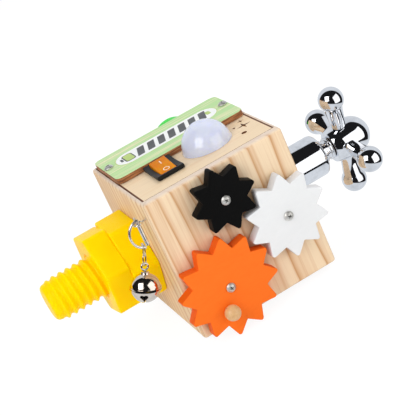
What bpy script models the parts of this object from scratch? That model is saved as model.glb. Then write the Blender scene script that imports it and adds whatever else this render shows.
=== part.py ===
"""Busy board block: a pine toy block with a switch, lamp, gears, tap, bolt and bell.

Metres, +Z up. The origin is the centre of the block's base. The gears face -Y, the tap +X,
the bolt and bell -X, and the green cap +Y.
"""

import math

import bmesh
import bpy
from mathutils import Euler, Matrix, Vector

mm = 0.001

# The block of four mitred pine walls
block_side = 80 * mm
wall = 8 * mm
edge_round = 1.6 * mm
half_side = block_side / 2

# Clearances: between resting faces, in glued mitres, round wires that hang, and past each cut
seat_gap = 0.3 * mm
glue_line = 0.2 * mm
link_gap = 0.3 * mm
overrun = 2 * mm

# Plywood panels and the lips of wall left round them
ply = 3 * mm
lip_side = 1.8 * mm
lip_front = 4.4 * mm
base_lip = 2.5 * mm
cavity = block_side - 2 * wall
panel_top = block_side
panel_under = panel_top - ply
panel_side = half_side - lip_side - seat_gap

# Screws, and the cross cut in their heads
pan_head = 2.5 * mm
pan_height = 1.6 * mm
pan_shares = ((0.6, 0.92), (0.9, 0.6), (1, 0.2))
flush_head = 2 * mm
screw_shank = 1.3 * mm
pan_cross = 1.3 * mm
flush_cross = 1 * mm
cross_width = 0.6 * mm
cross_root_share = 1.5
cross_depth = 0.9 * mm
base_screw_length = 9 * mm
base_screw_x = 22 * mm
base_screw_inset = 2.5 * mm
plate_screw_inset = 2.9 * mm
plate_screw_y = 19.4 * mm
plate_screw_length = 14 * mm

# Green name plate, flush with the top panel's sides and back
plate_width = 2 * panel_side
plate_front = -1.6 * mm
plate_corner = 3.6 * mm
plate_back = panel_side
plate_screw_x = plate_width / 2 - plate_screw_inset
plate_under = panel_top + seat_gap
plate_top = plate_under + ply

# Cut ornaments on the top panel
ornament_depth = 0.8 * mm
big_star = 4.2 * mm
big_star_place = (31.1 * mm, -13.1 * mm)
small_star = 2.3 * mm
small_star_place = (32.5 * mm, -5.8 * mm)
star_waist_share = 0.24
big_dot = 1.5 * mm
big_dot_place = (27.1 * mm, -22.3 * mm)
small_dot = 0.8 * mm
small_dot_place = (26.6 * mm, -10.4 * mm)

# Rocker switch
bezel_side_lip = 1.2 * mm
bezel_end_lip = 1.4 * mm
bezel_height = 2.2 * mm
bezel_scoop = 0.9 * mm
bezel_round = 0.5 * mm
switch_x = -16 * mm
switch_y = -13 * mm
switch_body_width = 13 * mm
switch_body_length = 19.4 * mm
switch_body_depth = 14 * mm
switch_body_top = 0.8 * mm
switch_well_depth = 8 * mm
bezel_width = switch_body_width + 2 * bezel_side_lip
bezel_length = switch_body_length + 2 * bezel_end_lip
rocker_side_land = 2 * mm
rocker_end_land = 1.5 * mm
rocker_width = switch_body_width - 2 * rocker_side_land
rocker_length = switch_body_length - 2 * rocker_end_land
rocker_rise = 3.6 * mm
rocker_dish = 0.35 * mm
rocker_skirt = 1.5 * mm
rocker_foot = 4.5 * mm
rocker_foot_width = 6 * mm
rocker_swing = 0.9 * mm
rocker_tilt = math.radians(8.5)
rocker_pin = 1 * mm
rocker_pin_cover = 0.8 * mm
rocker_pin_length = switch_body_width - 2 * rocker_pin_cover
pivot_depth = 0.5 * mm
pivot_z = panel_top - pivot_depth
terminal_width = 4.8 * mm
terminal_thickness = 0.8 * mm
terminal_length = 8 * mm
terminal_spread = 9 * mm

# Lamp dome, its board and its LED
dome_radius = 13.2 * mm
dome_wall = 1.2 * mm
dome_flange = 2.2 * mm
dome_x = 10 * mm
dome_y = -11.2 * mm
dome_relief = 0.6 * mm
board_thickness = 1.4 * mm
led_radius = 2.5 * mm
led_rim = 0.4 * mm
led_rim_height = 0.8 * mm
led_height = 8.5 * mm

# Battery box, cells and contacts
box_wall = 1.2 * mm
box_rim = 1 * mm
box_y = 8 * mm
cell_radius = 5.25 * mm
box_height = box_wall + seat_gap + 2 * cell_radius + box_rim
cell_length = 44.5 * mm
cell_nub = 1.9 * mm
cell_nub_height = 1 * mm
contact_thickness = 0.5 * mm
contact_height = 8 * mm

# Inner leads, each with the places it passes between its ends
lead_radius = 0.6 * mm
lead_gap = 0.4 * mm
box_to_switch = ((-26 * mm, 1 * mm, 26 * mm), (-20 * mm, -16 * mm, 44 * mm))
switch_to_lamp = ((-14 * mm, -6 * mm, 50 * mm), (0 * mm, -6 * mm, 56 * mm))
lamp_to_box = ((16 * mm, -10 * mm, 62 * mm), (20 * mm, 4 * mm, 36 * mm))

# Gears: teeth, tip and root radii, and where their screws stand on the front wall
washer_thickness = 0.8 * mm
gear_thickness = 6.6 * mm
gear_reach = washer_thickness + gear_thickness + 2 * seat_gap
gear_chamfer = 0.5 * mm
tooth_round = 1.1 * mm
washer_radius = 5 * mm
orange_teeth = 12
white_teeth = 10
black_teeth = 8
orange_tip = 26.2 * mm
orange_root = 20.2 * mm
white_tip = 22.2 * mm
white_root = 16.4 * mm
black_tip = 17 * mm
black_root = 11.8 * mm
orange_place = (-18.9 * mm, 22.2 * mm)
white_way = math.radians(22.8)
white_play = 3.1 * mm
black_way = math.radians(137)
black_play = 1.9 * mm
orange_turn = math.radians(18.7)
gear_screw_bite = 6.5 * mm
gear_front = -half_side - gear_reach

# Ball knob on the orange gear
knob_radius = 4.2 * mm
knob_orbit = 12.1 * mm
knob_turn = math.radians(-116)
knob_neck = 2.4 * mm
knob_dowel = 1.5 * mm
knob_dowel_depth = 4.5 * mm

# Tap, its lengths counted from the right wall's face
tap_y = -4 * mm
tap_z = 41 * mm
collar_radius = 11.5 * mm
collar_length = 26.6 * mm
collar_round = 2.8 * mm
bonnet_radius = 6.2 * mm
bonnet_length = 6.1 * mm
bonnet_end = collar_length + seat_gap + bonnet_length
bonnet_groove = 0.8 * mm
hub_stand = 8.5 * mm
hub_rise = 15.5 * mm
hub_plane = bonnet_end + hub_stand
hub_end = hub_plane + hub_rise
hub_skirt = 8.6 * mm
hub_radius = 10.4 * mm
spindle_radius = 3 * mm
spindle_past_hub = 1 * mm
spindle_reach = hub_plane + spindle_past_hub
spindle_tail = 6 * mm
tap_nut_radius = 7 * mm
tap_nut_thickness = 3.6 * mm
hub_shares = ((1.0, 0.75), (0.98, 0.5), (0.93, 0.2))
arm_reach = 26.4 * mm
arm_ball = 6.9 * mm
arm_waist = 3.9 * mm
arm_waist_at = 10.5 * mm
arm_root = 4.2 * mm
arm_neck = math.radians(47)
arm_turn = math.radians(12)

# Yellow bolt and nut, their lengths counted from the left wall's face
bolt_y = 4 * mm
bolt_z = 41 * mm
head_corner = 24.8 * mm
head_end = 15.2 * mm
hex_round = 3 * mm
hex_chamfer = 1 * mm
thread_root = 10.2 * mm
thread_depth = 1.4 * mm
thread_crest = thread_root + thread_depth
thread_pitch = 4.2 * mm
thread_fade = 3 * mm
thread_steps = 4
lead_in = 2.6 * mm
bolt_reach = 57.2 * mm
nut_corner = 24.6 * mm
nut_thickness = 12.8 * mm
nut_turn = math.radians(13)
nut_clearance = 0.35 * mm
bolt_screw_bite = 9 * mm
bolt_screw_offset = 10 * mm

# Screw eye and lever clasp
eye_y = -33.6 * mm
eye_wire = 0.45 * mm
eye_ring = 2.2 * mm
eye_shank = 0.7 * mm
eye_bite = 4.8 * mm
clasp_stand = 4.4 * mm
clasp_z = 64.9 * mm
clasp_wire = 0.55 * mm
clasp_out = 6.6 * mm
clasp_rise = 7.3 * mm
clasp_corner = 1.2 * mm
clasp_stub = 1.6 * mm
clasp_start = math.radians(95)
lever_radius = 0.7 * mm

# Chain and bell, hanging on a line that leans out from the wall
hang_angle = math.radians(22.7)
link_wire = 0.35 * mm
link_length = 5.7 * mm
upper_link_width = 2.8 * mm
lower_link_width = 3 * mm
link_twist = math.radians(45)
loop_wire = 0.45 * mm
loop_radius = 1.7 * mm
loop_foot = 1.2 * mm
loop_foot_height = 0.6 * mm
bell_radius = 7.5 * mm
bell_wall = 0.6 * mm
bell_rim = 0.5 * mm
bell_rim_height = 0.6 * mm
bell_neck = 2.3 * mm
bell_neck_height = 0.9 * mm
slot_width = 1 * mm
slot_hole = 1.8 * mm
slot_turn = math.radians(61)
slot_twist = math.radians(-27)
pellet_radius = 2.1 * mm

# Green cap and its threaded neck, their lengths counted from the back wall's face
cap_x = 13.3 * mm
cap_z = 65 * mm
cap_radius = 13.2 * mm
cap_length = 15.4 * mm
cap_wall = 1.5 * mm
cap_round = 1.4 * mm
neck_flange = 2 * mm
neck_headroom = 2.2 * mm
neck_length = neck_flange + seat_gap + cap_length - cap_wall - neck_headroom
neck_clearance = 0.3 * mm
neck_ridge = 0.5 * mm
neck_ridges = 4
neck_floor = 4 * mm
neck_bore = 3.2 * mm
neck_screw_bite = 6.5 * mm

# Facets round a turned piece
scoop_facets = 240
fine = 36
medium = 20
coarse = 12
merge = 0.01 * mm
smooth_limit = math.radians(35)

# Turns that point a piece's own +Z up, down, or out of one wall
UP = (0, 0, 0)
DOWN = (math.pi, 0, 0)
FRONT = (math.pi / 2, 0, 0)
BACK = (-math.pi / 2, 0, 0)
LEFT = (0, -math.pi / 2, 0)
RIGHT = (0, math.pi / 2, 0)

# Where the clasp hangs in its eye, and the line that the chain and bell hang along
clasp_x = -half_side - clasp_stand
clasp_low = clasp_z - clasp_rise * math.sin(math.acos(clasp_corner / clasp_out))
stub_top = clasp_low + clasp_corner + clasp_stub
lever_top = clasp_z + clasp_rise - clasp_wire - link_gap
rim_share = math.sqrt(1 - eye_ring * eye_ring / (clasp_out * clasp_out))
eye_z = clasp_z + clasp_rise * rim_share - clasp_wire - link_gap - eye_wire
hang = Vector((-math.sin(hang_angle), 0, -math.cos(hang_angle)))
hang_across = Vector((hang.z, 0, -hang.x))

# Stations along that line, from where the clasp's wire carries the chain
upper_link_top = -clasp_wire - link_wire - link_gap
upper_link_low = upper_link_top + link_length
lower_link_top = upper_link_low - 2 * link_wire - link_gap
lower_link_low = lower_link_top + link_length
loop_centre = lower_link_low - link_wire - loop_wire - link_gap + loop_radius
bell_crown = loop_centre + loop_radius + loop_wire + link_gap
bell_centre = bell_crown + bell_neck_height + bell_radius


# Scene and materials


def clear_scene():
    for obj in list(bpy.data.objects):
        bpy.data.objects.remove(obj, do_unlink=True)


def new_collection(name):
    collection = bpy.data.collections.new(name)
    bpy.context.scene.collection.children.link(collection)
    return collection


def finish(name, colour, roughness, metallic=0.0):
    """A Principled BSDF material."""
    material = bpy.data.materials.new(name)
    material.use_nodes = True
    shader = material.node_tree.nodes["Principled BSDF"]
    shader.inputs["Base Color"].default_value = (*colour, 1.0)
    shader.inputs["Roughness"].default_value = roughness
    shader.inputs["Metallic"].default_value = metallic
    material.diffuse_color = (*colour, 1.0)
    return material


def make_finishes():
    return {
        "pine": finish("pine", (0.80, 0.62, 0.38), 0.6),
        "plywood": finish("plywood", (0.82, 0.66, 0.45), 0.6),
        "green_print": finish("green_print", (0.48, 0.72, 0.36), 0.5),
        "black_plastic": finish("black_plastic", (0.02, 0.022, 0.024), 0.4),
        "amber_plastic": finish("amber_plastic", (0.75, 0.22, 0.0), 0.2),
        "frosted_plastic": finish("frosted_plastic", (0.66, 0.66, 0.86), 0.3),
        "board_green": finish("board_green", (0.02, 0.18, 0.06), 0.5),
        "clear_epoxy": finish("clear_epoxy", (0.9, 0.9, 0.95), 0.1),
        "battery_black": finish("battery_black", (0.03, 0.03, 0.03), 0.5),
        "cell_label": finish("cell_label", (0.55, 0.35, 0.05), 0.35, 0.4),
        "black_paint": finish("black_paint", (0.008, 0.008, 0.008), 0.45),
        "white_paint": finish("white_paint", (0.85, 0.85, 0.85), 0.45),
        "orange_paint": finish("orange_paint", (0.95, 0.17, 0.02), 0.5),
        "beech": finish("beech", (0.75, 0.48, 0.22), 0.4),
        "chrome": finish("chrome", (0.8, 0.8, 0.82), 0.06, 1.0),
        "screw_steel": finish("screw_steel", (0.62, 0.60, 0.57), 0.3, 1.0),
        "yellow_plastic": finish("yellow_plastic", (0.95, 0.62, 0.0), 0.35),
        "nickel": finish("nickel", (0.72, 0.70, 0.66), 0.2, 1.0),
        "green_plastic": finish("green_plastic", (0.03, 0.68, 0.04), 0.25),
        "red_lead": finish("red_lead", (0.6, 0.02, 0.02), 0.4),
        "black_lead": finish("black_lead", (0.02, 0.02, 0.02), 0.4),
    }


def keep(obj, slot):
    """Puts an object among the parts in its material, or among the cutters when slot is None."""
    for collection in list(obj.users_collection):
        collection.objects.unlink(obj)
    if slot is None:
        cutters.objects.link(obj)
        obj.hide_render = True
        obj.display_type = "WIRE"
        return obj
    parts.objects.link(obj)
    obj.data.materials.append(finishes[slot])
    return obj


def new_piece(name, data, slot, place=(0, 0, 0), turn=UP):
    obj = bpy.data.objects.new(name, data)
    obj.location = place
    obj.rotation_euler = turn
    return keep(obj, slot)


def smooth(obj):
    obj.data.shade_smooth()
    obj.data.set_sharp_from_angle(angle=smooth_limit)
    return obj


# Shapes


def box(name, slot, low, high):
    """A box between two corners, its origin at its centre."""
    bpy.ops.mesh.primitive_cube_add(size=1)
    obj = keep(bpy.context.active_object, slot)
    obj.name = name
    size = [b - a for a, b in zip(low, high)]
    obj.data.transform(Matrix.Diagonal((*size, 1)))
    obj.location = [(a + b) / 2 for a, b in zip(low, high)]
    return obj


def rod(name, slot, radius, length, place, turn, segments=coarse):
    """A cylinder that starts at place and runs along its turned +Z."""
    bpy.ops.mesh.primitive_cylinder_add(vertices=segments, radius=radius, depth=length)
    obj = keep(bpy.context.active_object, slot)
    obj.name = name
    obj.data.transform(Matrix.Translation((0, 0, length / 2)))
    obj.location = place
    obj.rotation_euler = turn
    return smooth(obj)


def turned(name, slot, profile, place=(0, 0, 0), turn=UP, segments=medium, ring=False):
    """A turned piece from (radius, height) points, listed down its outer side and up its inner one."""
    mesh = bpy.data.meshes.new(name)
    points = [(radius, 0, height) for radius, height in profile]
    edges = [(i, i + 1) for i in range(len(points) - 1)]
    if ring:
        edges.append((len(points) - 1, 0))
    mesh.from_pydata(points, edges, [])
    obj = new_piece(name, mesh, slot, place, turn)
    screw = obj.modifiers.new("turning", "SCREW")
    screw.axis = "Z"
    screw.steps = segments
    screw.render_steps = segments
    screw.use_merge_vertices = True
    screw.merge_threshold = merge
    screw.use_smooth_shade = True
    return obj


def span(start, end, steps):
    """Evenly spaced values from start to end."""
    return [start + (end - start) * i / steps for i in range(steps + 1)]


def arc(radius, start, end, steps, centre=(0, 0)):
    """Points along an arc, its angles counted from the first axis towards the second."""
    return [(centre[0] + radius * math.cos(a), centre[1] + radius * math.sin(a))
            for a in span(start, end, steps)]


def circle(radius, steps):
    return arc(radius, 0, math.tau, steps)[:-1]


def ball_profile(radius, height, end, steps):
    """A turned ball's side, from its top pole to the angle end away from it."""
    return [(radius * math.sin(a), height + radius * math.cos(a)) for a in span(0, end, steps)]


def slab(name, slot, loop, thickness, place=(0, 0, 0), turn=UP, chamfer=0):
    """A flat piece from one outline, standing on its own XY plane."""
    curve = bpy.data.curves.new(name, "CURVE")
    curve.dimensions = "2D"
    curve.fill_mode = "BOTH"
    curve.extrude = thickness / 2 - chamfer
    curve.bevel_depth = chamfer
    curve.bevel_resolution = 0
    curve.offset = -chamfer
    spline = curve.splines.new("POLY")
    spline.points.add(len(loop) - 1)
    for point, (x, y) in zip(spline.points, loop):
        point.co = (x, y, 0, 1)
    spline.use_cyclic_u = True
    return as_mesh(name, slot, curve, place, turn, thickness / 2)


def wire(name, slot, points, radius, closed=False, sides=2):
    """A round wire along places in the scene."""
    curve = bpy.data.curves.new(name, "CURVE")
    curve.dimensions = "3D"
    curve.bevel_depth = radius
    curve.bevel_resolution = sides
    curve.use_fill_caps = not closed
    spline = curve.splines.new("POLY")
    spline.points.add(len(points) - 1)
    for point, place in zip(spline.points, points):
        point.co = (*place, 1)
    spline.use_cyclic_u = closed
    return smooth(as_mesh(name, slot, curve))


def as_mesh(name, slot, curve, place=(0, 0, 0), turn=UP, lift=0):
    """A welded mesh from a curve, raised by lift along its own +Z."""
    guide = new_piece(name + "_curve", curve, None)
    bpy.context.view_layer.update()
    graph = bpy.context.evaluated_depsgraph_get()
    mesh = bpy.data.meshes.new_from_object(guide.evaluated_get(graph))
    bpy.data.objects.remove(guide, do_unlink=True)
    bm = bmesh.new()
    bm.from_mesh(mesh)
    bmesh.ops.remove_doubles(bm, verts=bm.verts, dist=merge)
    bmesh.ops.translate(bm, verts=bm.verts, vec=(0, 0, lift))
    bm.to_mesh(mesh)
    bm.free()
    return new_piece(name, mesh, slot, place, turn)


def shift(obj, height):
    """Moves a shape along its own +Z, away from its origin."""
    obj.data.transform(Matrix.Translation((0, 0, height)))
    return obj


def spin(obj, angle):
    """Turns a shape about its own +Z."""
    obj.data.transform(Matrix.Rotation(angle, 4, "Z"))
    return obj


def set_origin(obj, place, turn=UP):
    """Moves an object's origin and leaves its shape where it is."""
    frame = Matrix.LocRotScale(Vector(place), Euler(turn), None)
    obj.data.transform(frame.inverted() @ obj.matrix_basis)
    obj.location = place
    obj.rotation_euler = turn
    return obj


def boolean(target, other, operation):
    modifier = target.modifiers.new(other.name, "BOOLEAN")
    modifier.operation = operation
    modifier.solver = "EXACT"
    modifier.object = other
    return target


def cut(target, cutter):
    return boolean(target, cutter, "DIFFERENCE")


def join(target, piece):
    return boolean(target, piece, "UNION")


# Screws


def cross_recess(screw, place, turn, top, a):
    """Cuts the plus-shaped recess into a screw head, each of its arms a long."""
    b = cross_width / 2
    c = b * cross_root_share
    plus = [(b, a), (-b, a), (-c, c), (-a, b), (-a, -b), (-c, -c),
            (-b, -a), (b, -a), (c, -c), (a, -b), (a, b), (c, c)]
    cutter = slab(screw.name + "_cross", None, plus, cross_depth + overrun, place, turn)
    return cut(screw, shift(cutter, top - cross_depth))


def pan_screw(name, place, turn, length):
    """A domed cross-head screw, its head seated at place and its shank running against its own +Z."""
    head = [(pan_head * across, pan_height * up) for across, up in pan_shares]
    profile = [(0, pan_height), *head, (pan_head, 0), (screw_shank, 0),
               (screw_shank, screw_shank - length), (0, -length)]
    screw = turned(name, "screw_steel", profile, place, turn, coarse)
    return cross_recess(screw, place, turn, pan_height, pan_cross)


def flush_screw(name, place, turn, length):
    """A countersunk cross-head screw, its flat head level with place."""
    profile = [(0, 0), (flush_head, 0), (screw_shank, screw_shank - flush_head),
               (screw_shank, screw_shank - length), (0, -length)]
    screw = turned(name, "screw_steel", profile, place, turn, coarse)
    return cross_recess(screw, place, turn, 0, flush_cross)


def clearance_hole(target, name, place, turn, length, radius=screw_shank):
    """Cuts a hole for a shank that runs against its own +Z from place."""
    depth = length + seat_gap
    hole = rod(name, None, radius + seat_gap, depth + overrun, place, turn)
    return cut(target, shift(hole, -depth))


# The block


def block_cutters():
    """The hollow of the block and the two rabbets that its panels sit in."""
    inner = cavity / 2
    hollow = box("block_cavity", None, (-inner, -inner, -overrun), (inner, inner, block_side + overrun))
    side = half_side - lip_side
    top = box("top_rabbet", None, (-side, lip_front - half_side, panel_under - seat_gap),
              (side, side, block_side + overrun))
    edge = half_side - base_lip
    base = box("base_rabbet", None, (-edge, -edge, -overrun), (edge, edge, ply + seat_gap))
    return hollow, top, base


def pine_wall(name, turn, hollows):
    """One wall: the rounded block less its hollows, within its two mitre planes."""
    blank = box(name, "pine", (-half_side, -half_side, 0), (half_side, half_side, block_side))
    rounding = blank.modifiers.new("rounding", "BEVEL")
    rounding.width = edge_round
    rounding.segments = 3
    for hollow in hollows:
        cut(blank, hollow)
    apex = glue_line / math.sqrt(2)
    wedge = [(0, -apex), (-block_side, -block_side - apex), (block_side, -block_side - apex)]
    prism = slab(name + "_mitre", None, wedge, block_side + 2 * overrun, (0, 0, -overrun), (0, 0, turn))
    return boolean(blank, prism, "INTERSECT")


def pine_walls():
    hollows = block_cutters()
    names = ("front_wall", "right_wall", "back_wall", "left_wall")
    return [pine_wall(name, index * math.pi / 2, hollows) for index, name in enumerate(names)]


def countersink(target, name, place, turn):
    """Cuts a cone for a countersunk head, with clearance all round."""
    low = screw_shank - flush_head
    profile = [(0, overrun), (flush_head + seat_gap, overrun), (flush_head + seat_gap, 0),
               (screw_shank + seat_gap, low), (0, low)]
    return cut(target, turned(name, None, profile, place, turn, coarse))


def base_panel(front_wall, back_wall):
    """The plywood base and the four countersunk screws that hold it."""
    half = half_side - base_lip - seat_gap
    panel = box("base_panel", "plywood", (-half, -half, 0), (half, half, ply))
    screw_y = cavity / 2 + base_screw_inset
    for row, y, wall_piece in (("front", -screw_y, front_wall), ("back", screw_y, back_wall)):
        for side, x in (("left", -base_screw_x), ("right", base_screw_x)):
            name = "base_screw_%s_%s" % (row, side)
            place = (x, y, 0)
            flush_screw(name, place, DOWN, base_screw_length)
            clearance_hole(panel, name + "_panel_hole", place, DOWN, base_screw_length)
            clearance_hole(wall_piece, name + "_wall_hole", place, DOWN, base_screw_length)
            countersink(panel, name + "_sink", place, DOWN)
    return panel


def star(reach):
    """A four-pointed sparkle."""
    radii = (reach, reach * star_waist_share) * 4
    angles = span(0, math.tau, len(radii))
    return [(radius * math.cos(a), radius * math.sin(a)) for radius, a in zip(radii, angles)]


def top_panel():
    """The plywood top with its openings and its cut stars and dots."""
    front = lip_front + seat_gap - half_side
    panel = box("top_panel", "plywood", (-panel_side, front, panel_under),
                (panel_side, panel_side, panel_top))
    width = switch_body_width / 2 + seat_gap
    length = switch_body_length / 2 + seat_gap
    cut(panel, box("switch_window", None,
                   (switch_x - width, switch_y - length, panel_under - overrun),
                   (switch_x + width, switch_y + length, panel_top + overrun)))
    cut(panel, rod("lamp_hole", None, dome_radius + seat_gap, ply + 2 * overrun,
                   (dome_x, dome_y, panel_under - overrun), UP, fine))
    ornaments = {
        "big_star": (star(big_star), big_star_place),
        "small_star": (star(small_star), small_star_place),
        "big_dot": (circle(big_dot, coarse), big_dot_place),
        "small_dot": (circle(small_dot, coarse), small_dot_place),
    }
    for name, (loop, place) in ornaments.items():
        pocket = slab(name + "_pocket", None, loop, ornament_depth + overrun,
                      (*place, panel_top - ornament_depth))
        cut(panel, pocket)
    return panel


def rounded_rectangle(low, high, radius, steps):
    """An outline with four round corners, from the lower right one round."""
    quarter = math.pi / 2
    left, bottom = low[0] + radius, low[1] + radius
    right, top = high[0] - radius, high[1] - radius
    corners = ((right, bottom), (right, top), (left, top), (left, bottom))
    loop = []
    for index, corner in enumerate(corners):
        loop += arc(radius, (index - 1) * quarter, index * quarter, steps, corner)
    return loop


def name_plate(panel, left_wall, right_wall):
    """The green plate, relieved round the dome, and the two screws that hold it."""
    loop = rounded_rectangle((-plate_width / 2, plate_front), (plate_width / 2, plate_back), plate_corner, 4)
    plate = slab("name_plate", "green_print", loop, ply, (0, 0, plate_under))
    cut(plate, rod("dome_relief", None, dome_radius + dome_relief, ply + 2 * overrun,
                   (dome_x, dome_y, plate_under - overrun), UP, fine))
    for name, x, wall_piece in (("left", -plate_screw_x, left_wall), ("right", plate_screw_x, right_wall)):
        place = (x, plate_screw_y, plate_top + seat_gap)
        pan_screw("plate_screw_" + name, place, UP, plate_screw_length)
        for target in (plate, panel, wall_piece):
            clearance_hole(target, "%s_%s_hole" % (target.name, name), place, UP, plate_screw_length)
    return plate


# The switch


def switch_housing():
    """The black bezel and body, with the well that the rocker tips in and the holes for its pins."""
    half_width = bezel_width / 2
    half_length = bezel_length / 2
    top = plate_under + bezel_height
    housing = box("switch_housing", "black_plastic",
                  (switch_x - half_width, switch_y - half_length, plate_under),
                  (switch_x + half_width, switch_y + half_length, top))
    rounding = housing.modifiers.new("rounding", "BEVEL")
    rounding.width = bezel_round
    rounding.segments = 2
    chord = half_length - bezel_round
    radius = (chord * chord + bezel_scoop * bezel_scoop) / (2 * bezel_scoop)
    cut(housing, rod("bezel_scoop", None, radius, bezel_width + 2 * overrun,
                     (switch_x - half_width - overrun, switch_y, top - bezel_scoop + radius),
                     RIGHT, scoop_facets))
    body_width = switch_body_width / 2
    body_length = switch_body_length / 2
    join(housing, box("switch_body", None,
                      (switch_x - body_width, switch_y - body_length, panel_top - switch_body_depth),
                      (switch_x + body_width, switch_y + body_length, plate_under + switch_body_top)))
    well_width = rocker_width / 2 + seat_gap
    well_length = rocker_length / 2 + rocker_swing
    cut(housing, box("rocker_well", None,
                     (switch_x - well_width, switch_y - well_length, panel_top - switch_well_depth),
                     (switch_x + well_width, switch_y + well_length, top + overrun)))
    reach = rocker_pin_length / 2 + seat_gap
    return cut(housing, rod("rocker_bearing", None, rocker_pin + seat_gap, 2 * reach,
                            (switch_x - reach, switch_y, pivot_z), RIGHT))


def rocker():
    """The amber rocker with its front end pressed down, its origin on its pins' axis."""
    end = rocker_length / 2
    foot = rocker_foot_width / 2
    side = [(end, rocker_rise), (0, rocker_rise - rocker_dish), (-end, rocker_rise), (-end, -rocker_skirt),
            (-foot, -rocker_foot), (foot, -rocker_foot), (end, -rocker_skirt)]
    key = shift(slab("rocker", "amber_plastic", side, rocker_width), -rocker_width / 2)
    key.data.transform(Matrix.Rotation(math.pi / 2, 4, "Z") @ Matrix.Rotation(math.pi / 2, 4, "X"))
    key.location = (switch_x, switch_y, pivot_z)
    key.rotation_euler = (rocker_tilt, 0, 0)
    return join(key, rod("rocker_pins", None, rocker_pin, rocker_pin_length,
                         (switch_x - rocker_pin_length / 2, switch_y, pivot_z), RIGHT))


def terminal_end(side):
    """The lower end of one switch terminal, side -1 in front and 1 behind."""
    top = panel_top - switch_body_depth - seat_gap
    return (switch_x, switch_y + side * terminal_spread / 2, top - terminal_length)


def switch_terminals():
    for name, side in (("front", -1), ("back", 1)):
        x, y, z = terminal_end(side)
        box("switch_terminal_" + name, "nickel",
            (x - terminal_width / 2, y - terminal_thickness / 2, z),
            (x + terminal_width / 2, y + terminal_thickness / 2, z + terminal_length))


# The lamp


def lamp_dome():
    """A frosted half ball that comes up through the panel from a flange under it."""
    flange_top = -ply - seat_gap
    flange_low = flange_top - dome_wall
    inner = dome_radius - dome_wall
    quarter = math.pi / 2
    profile = ball_profile(dome_radius, 0, quarter, 9)
    profile += [(dome_radius, flange_top), (dome_radius + dome_flange, flange_top),
                (dome_radius + dome_flange, flange_low), (inner, flange_low)]
    profile += reversed(ball_profile(inner, 0, quarter, 9))
    return turned("lamp_dome", "frosted_plastic", profile, (dome_x, dome_y, panel_top), UP, fine)


def board_height():
    """The height of the lamp board's upper face."""
    return panel_under - dome_wall - 2 * seat_gap


def lamp_board():
    """The round board under the dome's flange, and the LED standing on it."""
    rod("lamp_board", "board_green", dome_radius + dome_flange, board_thickness,
        (dome_x, dome_y, board_height() - board_thickness), UP, fine)
    profile = ball_profile(led_radius, led_height - led_radius, math.pi / 2, 4)
    profile += [(led_radius, led_rim_height), (led_radius + led_rim, led_rim_height),
                (led_radius + led_rim, 0), (0, 0)]
    turned("led", "clear_epoxy", profile, (dome_x, dome_y, board_height() + seat_gap), UP, coarse)


# Power


def battery_box():
    """An open tray on the base panel, its two contact plates and its two cells."""
    floor = ply + seat_gap
    inside = floor + box_wall
    pitch = cell_radius + seat_gap / 2
    inner_x = cell_length / 2 + 2 * seat_gap + contact_thickness
    inner_y = 2 * pitch + seat_gap / 2
    tray = box("battery_box", "battery_black",
               (-inner_x - box_wall, box_y - inner_y - box_wall, floor),
               (inner_x + box_wall, box_y + inner_y + box_wall, floor + box_height))
    cut(tray, box("battery_hollow", None, (-inner_x, box_y - inner_y, inside),
                  (inner_x, box_y + inner_y, floor + box_height + overrun)))
    end = cell_length / 2
    shoulder = end - cell_nub_height
    profile = [(0, end), (cell_nub, end), (cell_nub, shoulder), (cell_radius, shoulder),
               (cell_radius, -end), (0, -end)]
    for name, side, turn in (("front", -1, LEFT), ("back", 1, RIGHT)):
        place = (0, box_y + side * pitch, inside + seat_gap + cell_radius)
        turned("battery_cell_" + name, "cell_label", profile, place, turn, coarse)
    for name, side in (("left", -1), ("right", 1)):
        centre = side * (end + seat_gap + contact_thickness / 2)
        box("battery_contact_" + name, "nickel",
            (centre - contact_thickness / 2, box_y - 2 * cell_radius, inside + seat_gap),
            (centre + contact_thickness / 2, box_y + 2 * cell_radius, inside + seat_gap + contact_height))


def smooth_route(points, steps):
    """Points along a Catmull-Rom curve through the given places."""
    ends = [Vector(p) for p in (points[0], *points, points[-1])]
    route = []
    for i in range(1, len(ends) - 2):
        a, b, c, d = ends[i - 1:i + 3]
        for t in span(0, 1, steps)[:-1]:
            route.append((2 * b + (c - a) * t + (2 * a - 5 * b + 4 * c - d) * t * t
                          + (3 * b - a - 3 * c + d) * t * t * t) / 2)
    route.append(ends[-1])
    return route


def leads():
    """Three inner leads: from the box to the switch, on to the lamp, and back to the box."""
    box_end = cell_length / 2 + 2 * seat_gap + contact_thickness + box_wall / 2
    box_top = ply + seat_gap + box_height + lead_gap
    left_end = Vector((-box_end, box_y, box_top))
    right_end = Vector((box_end, box_y, box_top))
    drop = Vector((0, 0, lead_gap))
    front = Vector(terminal_end(-1)) - drop
    back = Vector(terminal_end(1)) - drop
    board = Vector((dome_x, dome_y, board_height() - board_thickness)) - drop
    pad = Vector((led_radius, 0, 0))
    routes = {
        "lead_box_to_switch": ("red_lead", [left_end, *box_to_switch, front]),
        "lead_switch_to_lamp": ("red_lead", [back, *switch_to_lamp, board - pad]),
        "lead_lamp_to_box": ("black_lead", [board + pad, *lamp_to_box, right_end]),
    }
    for name, (slot, places) in routes.items():
        wire(name, slot, smooth_route(places, 5), lead_radius, sides=1)


# The gears


def gear_outline(teeth, tip, root):
    """Straight-sided teeth with round tips, the first tooth along the first axis."""
    step = math.tau / teeth
    loop = []
    for tooth in range(teeth):
        angle = tooth * step
        valley = Vector((root * math.cos(angle - step / 2), root * math.sin(angle - step / 2)))
        centre = Vector(((tip - tooth_round) * math.cos(angle), (tip - tooth_round) * math.sin(angle)))
        flank = centre - valley
        slant = math.atan2(flank.y, flank.x) - math.asin(tooth_round / flank.length)
        swing = (angle - slant + math.pi / 2) % math.tau
        loop.append(tuple(valley))
        loop += arc(tooth_round, angle - swing, angle + swing, 4, centre)
    return loop


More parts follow.
